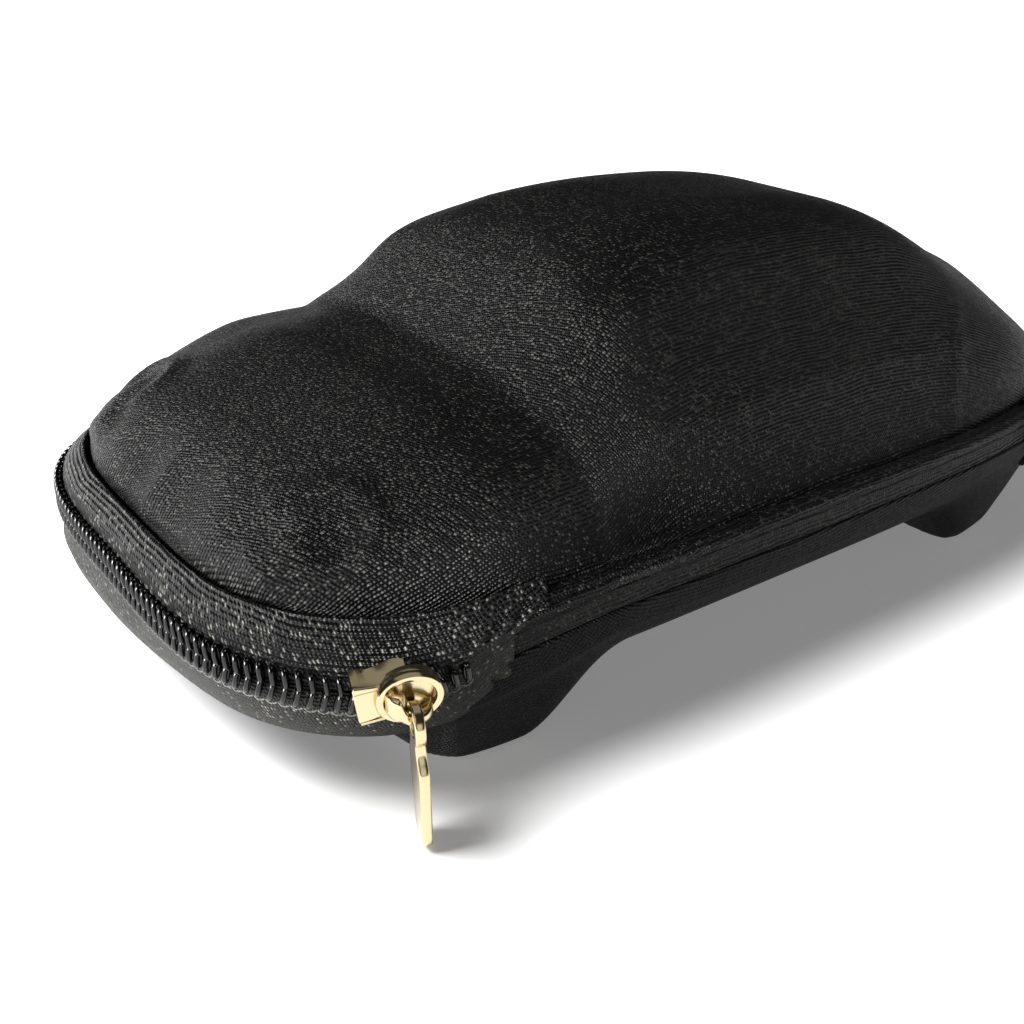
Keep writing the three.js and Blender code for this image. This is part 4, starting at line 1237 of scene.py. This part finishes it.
flat_way = Vector((math.sin(YAW), math.cos(YAW), 0))
forward = flat_way * math.cos(PITCH_DOWN) - Vector((0, 0, math.sin(PITCH_DOWN)))
level = Vector((math.cos(YAW), -math.sin(YAW), 0))
upwards = level.cross(forward)
camera_right = level * math.cos(ROLL) + upwards * math.sin(ROLL)
camera_up = upwards * math.cos(ROLL) - level * math.sin(ROLL)
camera_data = bpy.data.cameras.new("camera")
camera_data.sensor_width = SENSOR
camera_data.sensor_fit = "HORIZONTAL"
camera_data.lens = FOCAL_PIXELS / FRAME_PIXELS * SENSOR
camera_data.clip_start = 0.005
camera = add_object("camera", camera_data)
turn = Matrix((camera_right, camera_up, -forward)).transposed().to_4x4()
camera.matrix_world = Matrix.Translation(CAMERA_SPOT) @ turn
bpy.context.scene.camera = camera
print("lens", round(camera_data.lens, 1), "mm")

# %% Floor
FLOOR_SIZE = 12.0
GLOW_FROM, GLOW_TO = 0.07, 0.45
GLOW_NEAR, GLOW_FAR = 0.22, 1.0

half = FLOOR_SIZE / 2
floor_corners = [(-half, -half, 0), (half, -half, 0), (half, half, 0), (-half, half, 0)]
floor_mesh = bpy.data.meshes.new("floor")
floor_mesh.from_pydata(floor_corners, [], [(0, 1, 2, 3)])
floor = add_object("floor", floor_mesh)
floor_white, tree, shader = new_material("matt_white_paper", {
    "Base Color": linear("f4f4f4"), "Roughness": 0.9, "Specular IOR Level": 0.1,
    "Emission Color": (1, 1, 1, 1),
})
# Painted light: the floor glows, faintly near the case, which lifts its shadow, and fully further out, so
# that it reads white.
place_node = add_node(tree, "ShaderNodeTexCoord")
reach = add_node(tree, "ShaderNodeVectorMath", {0: place_node.outputs["Object"]}, operation="LENGTH")
glow = add_node(tree, "ShaderNodeMapRange", {
    "Value": reach.outputs["Value"], "From Min": GLOW_FROM, "From Max": GLOW_TO,
    "To Min": GLOW_NEAR, "To Max": GLOW_FAR}, interpolation_type="SMOOTHSTEP")
tree.links.new(glow.outputs["Result"], shader.inputs["Emission Strength"])
floor.data.materials.append(floor_white)
floor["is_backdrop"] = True
print("floor:", FLOOR_SIZE, "m wide")

# %% World
WORLD_ON_PIECES, WORLD_SEEN = 0.03, 1.3
world = bpy.data.worlds.new("white_wall")
bpy.context.scene.world = world
world.use_nodes = True
sky = world.node_tree.nodes["Background"]
sky.inputs["Color"].default_value = (1, 1, 1, 1)
seen = add_node(world.node_tree, "ShaderNodeLightPath")
strength = add_node(world.node_tree, "ShaderNodeMapRange", {
    "Value": seen.outputs["Is Camera Ray"], "To Min": WORLD_ON_PIECES, "To Max": WORLD_SEEN})
world.node_tree.links.new(strength.outputs["Result"], sky.inputs["Strength"])
bpy.context.scene.view_settings.view_transform = "Standard"
print("view transform:", bpy.context.scene.view_settings.view_transform)

# %% Lamps
CASE_PIECES = (lid, tray, upper_tape, lower_tape, upper_coil, lower_coil, stitches, hinge)
METAL_PIECES = (slider, pull)
LAMPS = {
    "floor_light": ((-0.55, 0.32, 0.85), 0.6, 24, (floor,)),
    "front_light": ((-0.95, -0.03, 0.27), 0.4, 32, CASE_PIECES),
    "corner_light": ((-0.85, 0.5, 0.14), 0.4, 3, CASE_PIECES),
    "edge_light": ((-0.5, 0.86, 0.14), 0.4, 3, CASE_PIECES),
    "shoulder_light": ((0.3, -0.47, 0.8), 0.25, 3.5, CASE_PIECES),
    "metal_card": ((-0.35, -0.75, 0.25), 0.4, 0.45, METAL_PIECES),
    "metal_fill": ((-0.8, -0.1, 0.55), 0.8, 1.5, METAL_PIECES),
    "metal_top": ((0.1, 0.35, 1.0), 1.0, 1.0, METAL_PIECES),
}


def soft_lamp(name, spot, size, power, pieces):
    """A square soft lamp that is aimed at the case and lights some of its pieces."""
    lamp = bpy.data.lights.new(name, "AREA")
    lamp.shape = "SQUARE"
    lamp.size = size
    lamp.energy = power
    holder = add_object(name, lamp)
    holder.location = spot
    holder.rotation_euler = (-Vector(spot)).to_track_quat("-Z", "Y").to_euler()
    lit = bpy.data.collections.new(name + "_lights")
    for piece in pieces:
        lit.objects.link(piece)
    holder.light_linking.receiver_collection = lit


for lamp_name, settings in LAMPS.items():
    soft_lamp(lamp_name, *settings)
print("lamps:", len(LAMPS))

# %% [markdown]
# ## Finish
# The fixed model's box and the dressed scene's box are measured, and the growth of one over the other is
# printed in mm.

# %% Finish
visual_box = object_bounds()
boxes = {"cad": [list(corner) for corner in cad_box], "visual": [list(corner) for corner in visual_box]}
growth = [[round((b - a) / MM, 1) for a, b in zip(*corners)] for corners in zip(*boxes.values())]
print("grown by mm:", growth)
